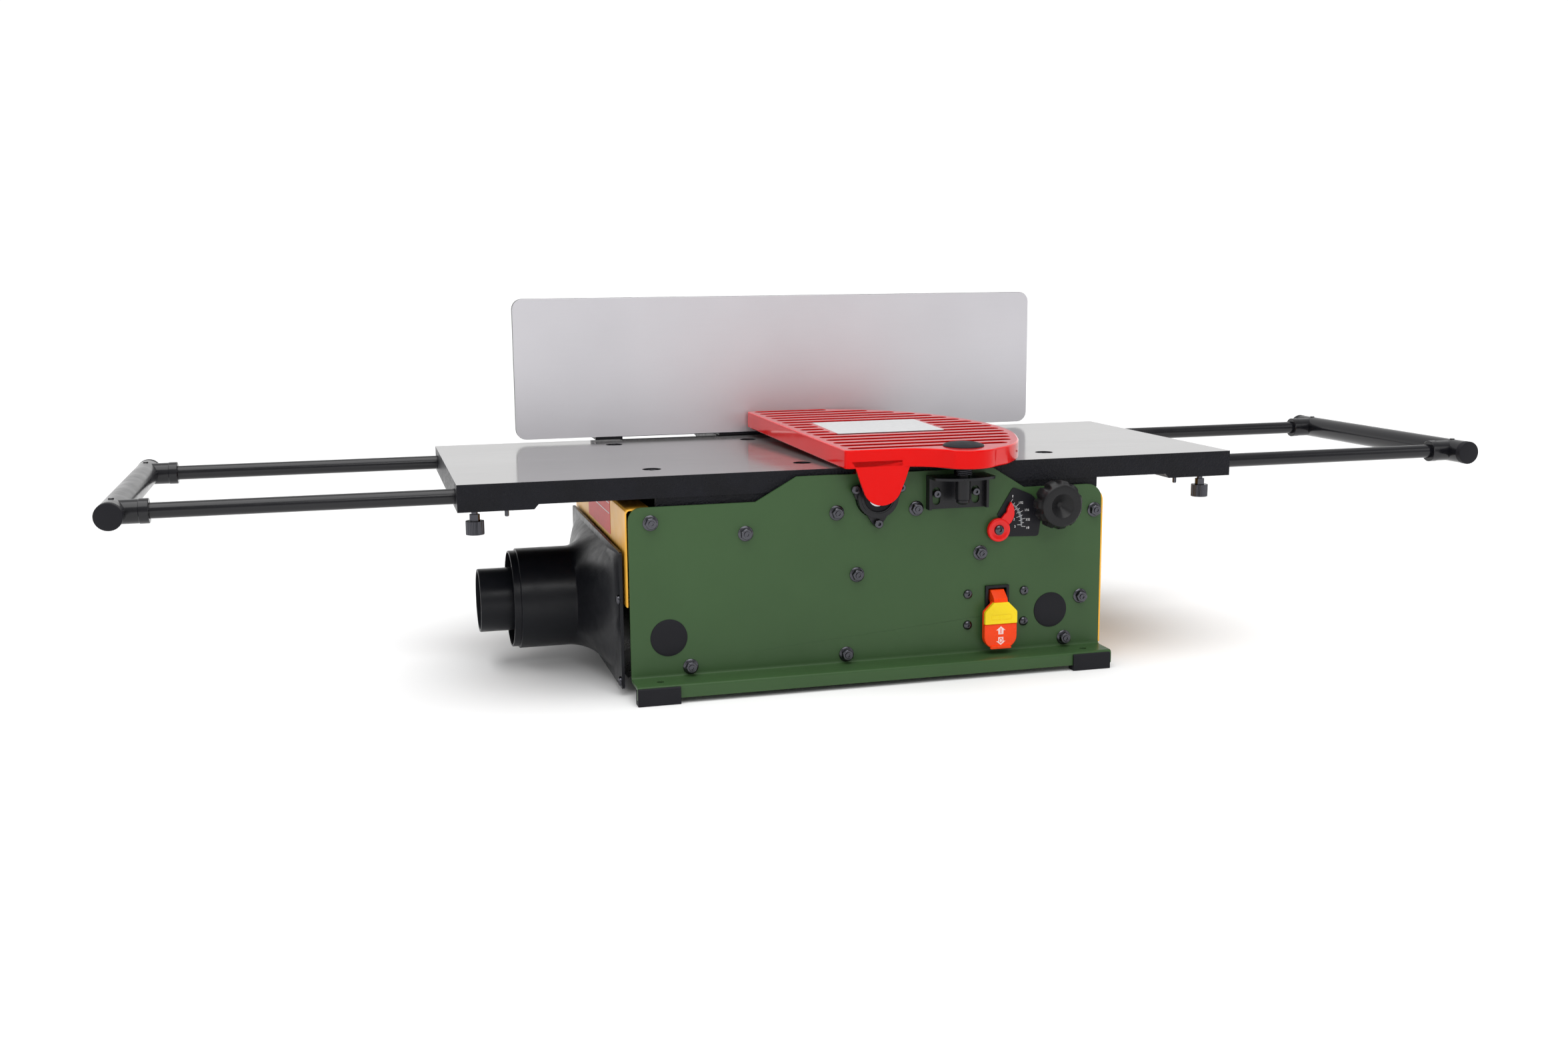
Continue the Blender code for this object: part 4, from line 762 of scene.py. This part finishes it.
def guard():
    outline = guard_outline()
    bottom = GUARD_TOP - GUARD_DEPTH
    shell = bevelled(prism("Z", bottom, GUARD_TOP, outline), 1.6, 3, 50)
    cut(shell, prism("Z", bottom - 5, GUARD_TOP - 6.0, inset(outline, 3.2)))

    grooves = []
    pitch, half, margin = 20.1, 5.2, 6.5
    for k in range(16):
        y = 287.5 - pitch * k
        left = left_at(y) + margin + half
        right = min(width_at(outline, y - half), width_at(outline, y + half)) - margin - half
        spans = [(left, right)]
        if PLATE_AREA[1] < y < PLATE_AREA[3]:
            spans = [(left, PLATE_AREA[0] - 3.0 - half), (PLATE_AREA[2] + 3.0 + half, right)]
        for a, b in spans:
            slot = slot_outline((a, y), (b, y), half, 10)
            grooves.append(prism("Z", GUARD_TOP - GROOVE_DEPTH, GUARD_TOP + 1.0, slot))
    cut(shell, grouped(*grooves))
    bevelled(shell, 0.55, 2, 55)
    # The faces inside the grooves are picked out for the darker red, which paints shade into the recesses.
    shaded_groove_faces = []
    for face in shell.data.polygons:
        x, y, z = face.center
        if GUARD_TOP - GROOVE_DEPTH - 0.1 < z < GUARD_TOP - 0.5 and -22 < y < 293:
            if left_at(y) + 4.0 < x < width_at(outline, y) - 4.0:
                shaded_groove_faces.append(face.index)

    hub = cylinder((PIVOT_X, PIVOT_Y, 2.6), (PIVOT_X, PIVOT_Y, GUARD_TOP - 1.5), 12.0)
    cut(hub, cylinder((PIVOT_X, PIVOT_Y, -9), (PIVOT_X, PIVOT_Y, 13), 5.4))
    bevelled(hub, 0.4)
    tab = [(-27.0, 9.0), (-21.5, 1.0), (-17.2, -11.5)]
    tab += three_point_arc((-12.8, -23.0), (4.7, -34.1), (22.0, -23.0), 20)
    tab += [(26.8, -11.5), (31.0, 1.0), (36.5, 9.0)]
    tab = bevelled(prism("Y", -26.0, -22.6, tab), 0.5, 2, 40)
    whole = leaned(grouped(shell, hub, tab))
    casting = piece("guard_casting", whole, RED, "guard", ("guard",), 30)
    # The groove faces take the darker red as painted shade.
    casting.data.materials.append(GROOVE_SHADE_RED)
    for index in shaded_groove_faces:
        casting.data.polygons[index].material_index = 1

    left, near, right, far = PLATE_AREA
    plate = rounded(rectangle(left, near, right, far), 2.0)
    plate = leaned(bevelled(prism("Z", GUARD_TOP - 0.2, GUARD_TOP + 0.25, plate), 0.1, 1))
    piece("guard_nameplate", plate, NAMEPLATE, "guard")
    dome = [(0, 4.2), (6, 4.0), (11, 3.4), (15, 2.6), (18, 1.7), (19.4, 0.9), (19.7, 0.1), (0, 0.1)]
    cap = leaned(turned((PIVOT_X, PIVOT_Y, GUARD_TOP), (0, 0, 1), dome, 64))
    piece("guard_dome_cap", cap, RUBBER, "guard", ("guard_cap",))

    points = []
    turns, per_turn, height, radius = 4, 28, 7.4, 8.0
    for i in range(turns * per_turn + 1):
        angle = 2 * math.pi * i / per_turn
        points.append((radius * math.cos(angle), radius * math.sin(angle), height * i / (turns * per_turn)))
    coil = wire(points, 0.95)
    coil.data.transform(Matrix.Translation((PIVOT_X, PIVOT_Y, -8.6)))
    piece("guard_torsion_spring", coil, BLACK_OXIDE, "frame_body", ("guard_spring",), 60)


def curve_mesh(curve):
    obj = added("curve", curve)
    mesh = evaluated(obj)
    bpy.data.objects.remove(obj)
    return mesh


def wire(points, radius):
    """A round wire through points."""
    curve = bpy.data.curves.new("wire", "CURVE")
    curve.dimensions = "3D"
    curve.bevel_depth = radius
    curve.bevel_resolution = 4
    curve.use_fill_caps = True
    spline = curve.splines.new("POLY")
    spline.points.add(len(points) - 1)
    for point, place in zip(spline.points, points):
        point.co = (*place, 1.0)
    return solid(curve_mesh(curve))


# ------------------------ depth control


def depth_knob():
    """A scalloped knob with a flat face ring and a conical dish."""
    lobes, count = 11, 220

    def ring(y, radius, notch):
        points = []
        for i in range(count):
            angle = 2 * math.pi * i / count
            dip = max(0.0, math.cos(lobes * angle + 0.6)) ** 1.3
            r = radius - notch * dip
            points.append((KNOB_X + r * math.cos(angle), y, KNOB_Z + r * math.sin(angle)))
        return points

    shape = [(-8.2, 10.6, 0.0), (-14.6, 10.6, 0.0), (-15.0, 20.8, 1.6), (-16.6, 23.0, 2.7)]
    shape += [(-18.6, 23.8, 3.0), (-26.4, 23.9, 3.0), (-28.6, 23.2, 2.5), (-30.0, 22.0, 1.3)]
    shape += [(-31.2, 21.2, 0.3), (-33.0, 20.4, 0.0), (-33.8, 19.6, 0.0), (-34.1, 18.4, 0.0)]
    shape += [(-34.1, 12.4, 0.0), (-33.6, 11.5, 0.0), (-32.4, 10.8, 0.0), (-26.6, 3.2, 0.0)]
    shape += [(-26.2, 1.4, 0.0)]
    knob = loft([ring(*numbers) for numbers in shape])
    piece("depth_control_knob", knob, KNOB_PLASTIC, "depth_drive", ("depth_knob",), 50)


def depth_pointer():
    hub = [(0, 1.9), (11.0, 1.9), (11.6, 2.4), (11.7, 4.4), (11.2, 5.6)]
    hub += [(10.0, 6.1), (8.6, 6.0), (7.2, 5.3), (5.6, 5.2), (0, 5.2)]
    hub = turned((LIFT_X, PLATE_FRONT, LIFT_Z), (0, -1, 0), hub, 72)
    angle = math.atan2(27.0, 12.1)
    tip = (LIFT_X + 29.6 * math.cos(angle), LIFT_Z + 29.6 * math.sin(angle))
    right = (LIFT_X + 11.2, LIFT_Z + 5.5)
    left = (LIFT_X + 1.0, LIFT_Z + 9.5)
    belly = three_point_arc(right, (LIFT_X + 16.0, LIFT_Z + 15.5), tip, 10)
    notch = [(8.6, 20.5), (8.0, 17.0), (5.5, 15.0)]
    blade = belly + [(LIFT_X + x, LIFT_Z + z) for x, z in notch] + [left, (LIFT_X, LIFT_Z)]
    blade = bevelled(prism("Y", PLATE_FRONT - 5.2, PLATE_FRONT - 2.4, blade), 0.35, 2, 30)
    arm = grouped(hub, blade)
    piece("depth_pointer_arm", arm, POINTER_RED, "inner_lift", ("depth_pointer",))
    screw = button_screw(5.0, 2.6, 3.4)
    fastener("depth_pointer_screw", screw, (LIFT_X, PLATE_FRONT - 5.2, LIFT_Z), "inner_lift")


INK_FRONT = PLATE_FRONT - 1.17
INK_BACK = PLATE_FRONT - 1.08


def lettering(text, centre, size):
    """Flat, narrow numbers, centred, facing -Y on the scale plate."""
    curve = bpy.data.curves.new("text", "FONT")
    curve.body = text
    curve.size = size
    curve.align_x = "CENTER"
    curve.align_y = "CENTER"
    curve.extrude = 0.04
    curve.resolution_u = 3
    mesh = curve_mesh(curve)
    turn = Matrix.Rotation(math.pi / 2, 4, "X") @ Matrix.Diagonal((0.82, 1.0, 1.0, 1.0))
    mesh.transform(Matrix.Translation((centre[0], (INK_FRONT + INK_BACK) / 2, centre[1])) @ turn)
    return solid(mesh)


def tick(point, across, near, far):
    """A printed line that crosses the scale's band at a point."""
    width = 0.3
    along = Vector((-across.y, across.x)) * width / 2
    point = Vector(point)
    ends = (point + across * near, point + across * far)
    corners = [ends[0] + along, ends[1] + along, ends[1] - along, ends[0] - along]
    return prism("Y", INK_FRONT, INK_BACK, [tuple(c) for c in corners])


def depth_scale():
    """A printed scale: inches outside the band, millimetres inside it."""
    steps, full_depth = 60, 3.175
    line = three_point_arc((143.0, -40.8), (151.2, -49.3), (154.6, -64.7), steps)

    def place(depth):
        """The band's point at a depth of cut, and the direction out across it."""
        i = min(steps - 1, int(depth / full_depth * steps))
        a, b = Vector(line[i]), Vector(line[i + 1])
        along = (b - a).normalized()
        return a + (b - a) * (depth / full_depth * steps - i), Vector((-along.y, along.x))

    marks = []
    for k in range(9):
        point, across = place(full_depth * k / 8)
        marks.append(tick(point, across, 0.2, 4.4 if k % 2 == 0 else 2.6))
    for k in range(1, 7):
        point, across = place(k / 2)
        marks.append(tick(point, across, -0.2, -4.2 if k % 2 == 0 else -2.6))
    numbers = {"0": (145.2, -34.6), "1/32": (153.8, -41.4), "1/16": (160.2, -48.9), "3/32": (161.6, -58.4)}
    numbers.update({"1/8": (161.4, -66.5), "1": (144.6, -50.6), "2": (147.0, -57.4), "3": (148.0, -64.6)})
    for text, centre in numbers.items():
        marks.append(lettering(text, centre, 3.3))
    piece("depth_scale_marks", grouped(*marks), WHITE_INK, "frame_body")
    outer, inner = [], []
    for i in range(steps):
        point, across = place(full_depth * (i + 0.001) / steps)
        swell = math.sin(math.pi * (0.12 + 0.7 * i / steps))
        outer.append(tuple(point + across * 1.3 * swell))
        inner.append(tuple(point - across * 1.1 * swell))
    band = prism("Y", INK_FRONT + 0.02, INK_BACK, outer + inner[::-1])
    piece("depth_scale_band", band, GREY_INK, "frame_body")


# ------------------------ switch


def arrow(centre, up):
    """A block arrow, 9.6 wide and 8 high."""
    sign = 1 if up else -1
    points = [(-2.7, -4.0), (2.7, -4.0), (2.7, 0.0), (4.8, 0.0), (0, 4.0), (-4.8, 0.0), (-2.7, 0.0)]
    return [(centre[0] + x, centre[1] + sign * z) for x, z in points]


def switch():
    x = SWITCH_X
    front = PLATE_FRONT - 12.5
    outline = [(-17, -182.8), (17, -182.8), (17, -146), (7.6, -136.6), (-7.6, -136.6), (-17, -146)]
    outline = [(x + across, z) for across, z in outline]
    lower = prism("Y", front, PLATE_FRONT - 5.4, rounded(outline, [12, 12, 4, 1.5, 1.5, 4], 8))
    room = rounded([(x - 18, -158.4), (x + 18, -158.4), (x + 18, -130), (x - 18, -130)], 0.2, 1)
    cut(lower, prism("Y", front - 5, front + 3.4, room))
    bevelled(lower, 0.9, 3, 40)
    lip = [(x - 11.5, -183.0), (x + 11.5, -183.0), (x + 9.8, -179.6), (x - 9.8, -179.6)]
    lip = bevelled(prism("Y", front - 1.4, front + 1.5, rounded(lip, 1.0, 3)), 0.6, 2, 40)
    neck = [(front, -137.6), (front + 1.2, -133.2), (PLATE_FRONT - 2, -126.0)]
    neck += [(PLATE_FRONT + 6, -126.0), (PLATE_FRONT + 6, -133), (PLATE_FRONT - 5.6, -144)]
    neck = bevelled(prism("X", x - 7.2, x + 7.2, neck), 0.6, 2, 30)
    paddle = grouped(lower, lip, neck)
    piece("switch_rocker", paddle, SWITCH_RED, "switch_paddle", ("switch_paddle",), 30)

    key = [(-16.9, -158.2), (16.9, -158.2), (16.9, -146.2), (7.6, -136.8), (-7.6, -136.8), (-16.9, -146.2)]
    key = rounded([(x + across, z) for across, z in key], [0.6, 0.6, 4, 1.4, 1.4, 4], 6)
    key = bevelled(prism("Y", front - 0.9, front + 3.2, key), 0.6, 3, 40)
    cut(key, prism("Y", front - 3, front - 0.6, rounded(rectangle(x - 11.2, -154.2, x + 11.2, -148.6), 2.2)))
    raised = prism("Y", front - 0.9, front - 0.2, rounded(rectangle(x - 10.2, -153.3, x + 10.2, -149.5), 1.5))
    tongue = box((x - 5, front + 1, -152), (x + 5, PLATE_FRONT - 5.5, -147))
    key = grouped(key, bevelled(raised, 0.25, 2), tongue)
    piece("switch_safety_key", key, SWITCH_YELLOW, "switch_key", ("switch_key",), 30)

    arrows = (arrow((x, -164.6), True), arrow((x, -175.4), False))
    marks = [prism("Y", front - 0.12, front + 0.2, outline) for outline in arrows]
    piece("switch_arrows", grouped(*marks), PINK_INK, "switch_paddle")
    on_bar = prism("Y", front - 0.2, front + 0.1, rectangle(x - 0.4, -167.6, x + 0.4, -162.6))
    ring = turned((x, front, -174.8), (0, -1, 0), [(1.2, 0.0), (1.8, 0.0), (1.8, 0.2), (1.2, 0.2)], 24)
    centre = Matrix.Translation((0, 0, -174.8))
    ring.data.transform(centre @ Matrix.Diagonal((1, 1, 1.35, 1)) @ centre.inverted())
    piece("switch_symbols", grouped(on_bar, ring), SWITCH_RED, "switch_paddle")


# ------------------------ stock supports


def stock_supports():
    for side_name, side, table_body in (("left", -1, "frame_body"), ("right", 1, "infeed")):
        body = f"{side_name}_support"
        for row, y in ROD_ROWS.items():
            rod = cylinder((side * 318, y, ROD_Z), (side * 659.6, y, ROD_Z), 7.0, 48)
            rod = bevelled(rod, 0.6, 2, 50)
            replaced = (f"{side_name}_{row}_rod",)
            piece(f"{side_name}_{row}_tube", rod, BLACK_TUBE, body, replaced)
        x = side * 672.0
        profile = [(0, 310.6), (11.4, 310.6), (11.8, 310.2), (11.8, 1.8), (11.4, 1.4), (0, 1.4)]
        bar = [turned((x, 0, ROD_Z), (0, 1, 0), profile, 56)]
        for row, y in ROD_ROWS.items():
            inner = side * 642.0
            sleeve = [(7.3, 0), (10.4, 0), (11.0, 0.6), (11.0, 8.0), (10.6, 8.5), (10.6, 26), (7.3, 26)]
            bar.append(turned((inner, y, ROD_Z), (side, 0, 0), sleeve, 48))
            screw = [(0, 0.9), (2.2, 0.8), (2.6, 0.3), (2.6, -1.0), (0, -1.0)]
            bar.append(turned((x, y, ROD_Z + 11.8), (0, 0, 1), screw, 24))
        replaced = (f"{side_name}_cross_bar",)
        piece(f"{side_name}_support_bar", grouped(*bar), BLACK_TUBE, body, replaced)
        for row, y, facing in (("front", 1.5, -1), ("rear", 310.5, 1)):
            disc = [(0, 1.5), (10.6, 1.5), (11.7, 0.9), (12.0, 0.0), (12.0, -5.0), (10.0, -5.0), (0, -5.0)]
            cap = turned((x, y, ROD_Z), (0, facing, 0), disc, 56)
            piece(f"{side_name}_{row}_end_cap", cap, RUBBER, body)

        centre = (side * 368.0, ROD_ROWS["front"])
        outline = []
        for i in range(144):
            angle = 2 * math.pi * i / 144
            radius = 8.2 + 0.22 * (1 if math.cos(36 * angle) > 0 else -1)
            outline.append((centre[0] + radius * math.cos(angle), centre[1] + radius * math.sin(angle)))
        knurl = bevelled(prism("Z", -49.6, -37.0, outline), 0.5, 2, 70)
        shank = [(0, -21.6), (2.9, -21.6), (2.9, -30.8), (4.75, -31.0), (4.75, -37.2), (0, -37.2)]
        screw = grouped(knurl, turned((*centre, 0), (0, 0, 1), shank))
        name = f"{side_name}_rod_lock"
        piece(f"{side_name}_thumb_screw", screw, BLACK_OXIDE, name, (name,), 30)
        stop = [(0, -24.0), (2.0, -24.0), (2.0, -33.6), (1.5, -34.4), (0, -34.4)]
        stop = turned((side * 339.0, ROD_ROWS["front"], 0), (0, 0, 1), stop, 24)
        piece(f"{side_name}_stop_screw", stop, BLACK_OXIDE, table_body)


# ------------------------ dust outlet


def dust_outlet():
    """A flange with a hood that blends from a tapered opening to the pipe, and the reducer in the pipe."""
    per_quarter, squareness = 24, 7.0
    corners = ((1, 1), (-1, 1), (-1, -1), (1, -1))
    steps = [(k, math.pi / 2 * (k + i / per_quarter)) for k in range(4) for i in range(per_quarter + 1)]

    def pipe_ring(x, radius):
        return [(x, HOOD_Y + radius * math.cos(a), HOOD_Z + radius * math.sin(a)) for _, a in steps]

    def flange_ring(x, half_y, bottom, top, radius):
        """A rectangle with rounded corners, in a plane across X."""
        points = []
        for k, angle in steps:
            sy, sz = corners[k]
            corner_z = top - radius if sz > 0 else bottom + radius
            y = HOOD_Y + sy * (half_y - radius) + radius * math.cos(angle)
            points.append((x, y, corner_z + radius * math.sin(angle)))
        return points

    def skirt_ring(share, shrink):
        """A loop between the hood's opening at share 0, narrower below, and the pipe at share 1."""
        points = []
        eased = share * share * (3 - 2 * share) * 0.35 + share * 0.65
        x = HOOD_FACE - 3.0 - 25.0 * share
        for _, angle in steps:
            c, s = math.cos(angle), math.sin(angle)
            height = 62.5 if s > 0 else 54.5
            width = 141.0 + 47.7 * min(0.0, s)
            reach = (abs(c / width) ** squareness + abs(s / height) ** squareness) ** (-1 / squareness)
            radius = reach + (PIPE_RADIUS + 0.4 - reach) * eased - shrink
            points.append((x, HOOD_Y + radius * c, HOOD_Z + radius * s))
        return points

    rings = [
        flange_ring(HOOD_FACE, 150.0, -200.0, -70.0, 3.0),
        flange_ring(HOOD_FACE - 2.4, 150.0, -200.0, -70.0, 3.0),
        flange_ring(HOOD_FACE - 2.8, 149.6, -199.6, -70.4, 3.0),
        *(skirt_ring(k / 10, 0.0) for k in range(11)),
        pipe_ring(HOOD_FACE - 30.6, PIPE_RADIUS),
        pipe_ring(HOOD_END + 7.4, PIPE_RADIUS),
        pipe_ring(HOOD_END + 7.0, 49.6),
        pipe_ring(HOOD_END + 6.6, 48.0),
        pipe_ring(HOOD_END + 0.5, 48.0),
        pipe_ring(HOOD_END, 47.5),
        pipe_ring(HOOD_END, 46.2),
        pipe_ring(HOOD_END + 12.0, 45.8),
        *(skirt_ring(k / 5, 2.6) for k in (5, 4, 3, 2, 1, 0)),
        [(HOOD_FACE, y, z) for x, y, z in skirt_ring(0.0, 2.6)],
    ]
    hood = loft(rings, closed=True)
    piece("dust_hood_moulding", hood, PLASTIC, "frame_body", ("dust_hood",), 40)

    outer, inner, plug, end = 31.5, 29.0, 44.8, -358.0
    profile = [(outer - 0.6, end), (outer, end + 0.6), (outer, HOOD_END + 9), (outer + 1.2, HOOD_END + 10)]
    profile += [(plug - 1.2, HOOD_END + 10), (plug, HOOD_END + 11), (plug, HOOD_END + 28)]
    profile += [(plug - 2.5, HOOD_END + 28), (plug - 2.5, HOOD_END + 12.5), (inner, HOOD_END + 12.5)]
    profile += [(inner, end + 0.6), (inner + 0.4, end)]
    adapter = turned((0, HOOD_Y, HOOD_Z), (1, 0, 0), profile, 96)
    piece("hose_adapter", adapter, PLASTIC, "dust_adapter", ("dust_adapter",), 30)


# ------------------------ body details


def plugs():
    for name, (x, z) in {"left_plug": (-197.5, -151.2), "right_plug": (187.6, -150.4)}.items():
        profile = [(0, 1.7), (8, 1.65), (13, 1.5), (16.0, 1.2), (17.3, 0.7), (17.5, 0.1)]
        profile += [(14.5, 0.1), (14.5, -5), (12.5, -5), (12.5, -1), (0, -1)]
        plug = turned((x, PLATE_FRONT, z), (0, -1, 0), profile, 72)
        piece(f"{name}_button", plug, RUBBER, "frame_body", (name,))


def cover_label():
    """A blank label on the left end cover, with two pale rules."""
    face = -235.65
    label = prism("X", face - 0.12, face + 0.1, rounded(rectangle(82, -66, 218, -33), 1.5))
    piece("end_cover_label", label, LABEL_RED, "frame_body")
    rules = [prism("X", face - 0.2, face + 0.05, rectangle(86, z, 214, z + 0.9)) for z in (-46.5, -36.5)]
    piece("end_cover_label_rules", grouped(*rules), WHITE_INK, "frame_body")


def bearing_details():
    """The seal and inner ring that show in the front bearing flange."""
    axis = (CUTTER_X, 0, CUTTER_Z)
    seal = turned(axis, (0, 1, 0), [(14.6, -9.3), (14.6, -8.8), (9.4, -8.8), (9.4, -9.3)], 56)
    piece("front_bearing_seal", seal, RUBBER, "frame_body")
    rim = turned(axis, (0, 1, 0), [(16.0, -11.5), (17.4, -11.5), (17.4, -11.0), (16.0, -11.0)], 64)
    piece("front_bearing_ring", rim, BLACK_PAINT, "frame_body")


def cutterhead():
    """A solid head with spiral rows of square inserts, each screwed into its own pocket."""
    axis = (CUTTER_X, 0, CUTTER_Z)
    profile = [(0, 349), (7.0, 349), (7.2, 348.5), (7.2, 302), (26.0, 302), (26.6, 301)]
    profile += [(26.6, 10), (26.0, 9), (7.2, 9), (7.2, -7.5), (0, -8)]
    head = turned(axis, (0, 1, 0), profile, 96)
    rows, per_row, side, last = 6, 9, 14.0, 294
    pockets, inserts, screws = [], [], []
    for row in range(rows):
        for k in range(per_row):
            y = 20.0 + 31.5 * k + 5.25 * row
            if y > last:
                continue
            angle = 2 * math.pi * row / rows + 0.62 * k / 2
            turn = Matrix.Translation((CUTTER_X, y, CUTTER_Z)) @ Matrix.Rotation(angle, 4, "Y")
            pocket = box((-9.0, -7.7, 20.8), (7.6, 7.7, 30))
            pocket.data.transform(turn)
            pockets.append(pocket)
            insert = bevelled(box((-1.25, -side / 2, 13.4), (1.25, side / 2, 13.4 + side)), 0.25, 1)
            insert.data.transform(turn @ Matrix.Translation((3.2, 0, -0.15)))
            inserts.append(insert)
            block = prism("Y", -7.2, 7.2, [(4.6, 19.8), (7.5, 19.8), (7.5, 24.2), (5.6, 25.6), (4.6, 25.6)])
            block = bevelled(block, 0.2, 1)
            block.data.transform(turn)
            screws.append(block)
            profile = [(0, 1.2), (1.2, 1.2), (3.0, 0.6), (3.2, 0), (0, 0)]
            screw = turned((1.9, 0, 20.6), (-1, 0, 0), profile, 20)
            screw.data.transform(turn)
            screws.append(screw)
    cut(head, grouped(*pockets))
    bevelled(head, 0.2, 1, 50)
    piece("spiral_cutterhead", head, TURNED, "cutter", ("cutterhead",), 30)
    piece("cutter_inserts", grouped(*inserts), CARBIDE, "cutter")
    piece("insert_seats_and_screws", grouped(*screws), BLACK_OXIDE, "cutter")


def levers():
    """The two fence locks: cranked levers with ball grips."""
    hinge_y, hinge_z, reach, angle = 316, 12, 45, math.radians(42)
    bolt = (hinge_y + reach * math.cos(angle), hinge_z + reach * math.sin(angle))
    tip = (bolt[0] + 50, bolt[1] + 5)
    hub = bevelled(cylinder((81.4, *bolt), (91, *bolt), 7.0), 0.8, 3, 50)
    shank = cylinder((68, *bolt), (92, *bolt), 3.0)
    arm = bevelled(prism("X", 83, 89, band_outline(bolt, 5.5, tip, 3.6)), 1.4, 3, 40)
    lever = grouped(hub, shank, arm, ball((86, *tip), 6.9))
    piece("tilt_lock_lever", lever, KNOB_PLASTIC, "tilt_lock", ("fence_tilt_lock",), 45)

    y = 455.5
    hub = bevelled(cylinder((0, y, 13.4), (0, y, 27), 10.0), 0.9, 3, 50)
    shank = cylinder((0, y, 7.3), (0, y, 28), 3.9)
    arm = bevelled(prism("Z", 18, 24, band_outline((0, y), 7, (-52, y + 4), 4)), 1.6, 3, 40)
    lever = grouped(hub, shank, arm, ball((-54, y + 4.2, 21), 7.1))
    piece("slide_lock_lever", lever, KNOB_PLASTIC, "slide_lock", ("fence_slide_lock",), 45)


# ------------------------ studio


def studio():
    world = bpy.data.worlds.new("studio")
    world.use_nodes = True
    tree = world.node_tree
    place = tree.nodes.new("ShaderNodeTexCoord")
    split = tree.nodes.new("ShaderNodeSeparateXYZ")
    tree.links.new(place.outputs["Generated"], split.inputs[0])
    strength = tree.nodes.new("ShaderNodeMath")
    strength.operation = "MULTIPLY"
    depth = map_range(tree, split.outputs["Y"], -0.45, 0.35, 0.50, 1.05)
    height = map_range(tree, split.outputs["Z"], 0.17, 0.32, 1.0, 0.75)
    tree.links.new(depth, strength.inputs[0])
    tree.links.new(height, strength.inputs[1])
    tree.links.new(strength.outputs[0], tree.nodes["Background"].inputs["Strength"])
    tree.nodes["Background"].inputs["Color"].default_value = (1.0, 1.0, 1.0, 1.0)
    bpy.context.scene.world = world
    bpy.context.scene.view_settings.view_transform = "Standard"

    floor = Finish("studio_floor", (0.88, 0.88, 0.88), 0.8).patchy(2.0, 0.01, 0.05)
    floor.set(Specular_IOR_Level=0.0)
    plane = bpy.data.meshes.new("studio_floor")
    half = 60.0
    corners = [(x, y, 0) for x, y in rectangle(-half, -half, half, half)]
    plane.from_pydata(corners, [], [(0, 1, 2, 3)])
    plane.materials.append(floor.material)
    added("studio_floor", plane)

    light = bpy.data.lights.new("overhead", "SUN")
    light.energy = 2.3
    light.angle = math.radians(60)
    added("overhead", light).rotation_euler = (math.radians(12), math.radians(-8), 0)

    middle = Vector((0, 0, 0.15))

    def softbox(name, place, size, power):
        """A rectangular light that faces the middle of the machine."""
        light = bpy.data.lights.new(name, "AREA")
        light.shape = "RECTANGLE"
        light.size, light.size_y = size
        light.energy = power
        lamp = added(name, light)
        lamp.location = place
        lamp.rotation_euler = (middle - Vector(place)).to_track_quat("-Z", "Y").to_euler()

    softbox("left_softbox", (-2.0, -1.9, 0.9), (0.9, 1.3), 5)
    softbox("right_softbox", (2.2, -1.6, 1.1), (0.5, 1.5), 3)
    softbox("front_softbox", (0.3, -2.6, 1.8), (1.6, 0.6), 13)


def camera():
    """The eye stands to the left in front, a little above the tables."""
    lens = bpy.data.cameras.new("camera")
    lens.sensor_width = 36.0
    lens.lens = 36.1065
    lens.clip_start, lens.clip_end = 0.05, 80.0
    eye = added("camera", lens)
    azimuth, descent, roll = math.radians(15.59), math.radians(9.506), math.radians(-0.444)
    flat = math.cos(descent)
    forward = Vector((math.sin(azimuth) * flat, math.cos(azimuth) * flat, -math.sin(descent)))
    eye.rotation_mode = "QUATERNION"
    eye.rotation_quaternion = forward.to_track_quat("-Z", "Y") @ Matrix.Rotation(roll, 3, "Z").to_quaternion()
    eye.location = FRAME @ Vector((-476.1, -1402.8, 194.7))
    bpy.context.scene.camera = eye


camera()
studio()
carry_over()
plate_fasteners()
guard()
depth_knob()
depth_pointer()
depth_scale()
switch()
stock_supports()
dust_outlet()
plugs()
cover_label()
bearing_details()
cutterhead()
levers()
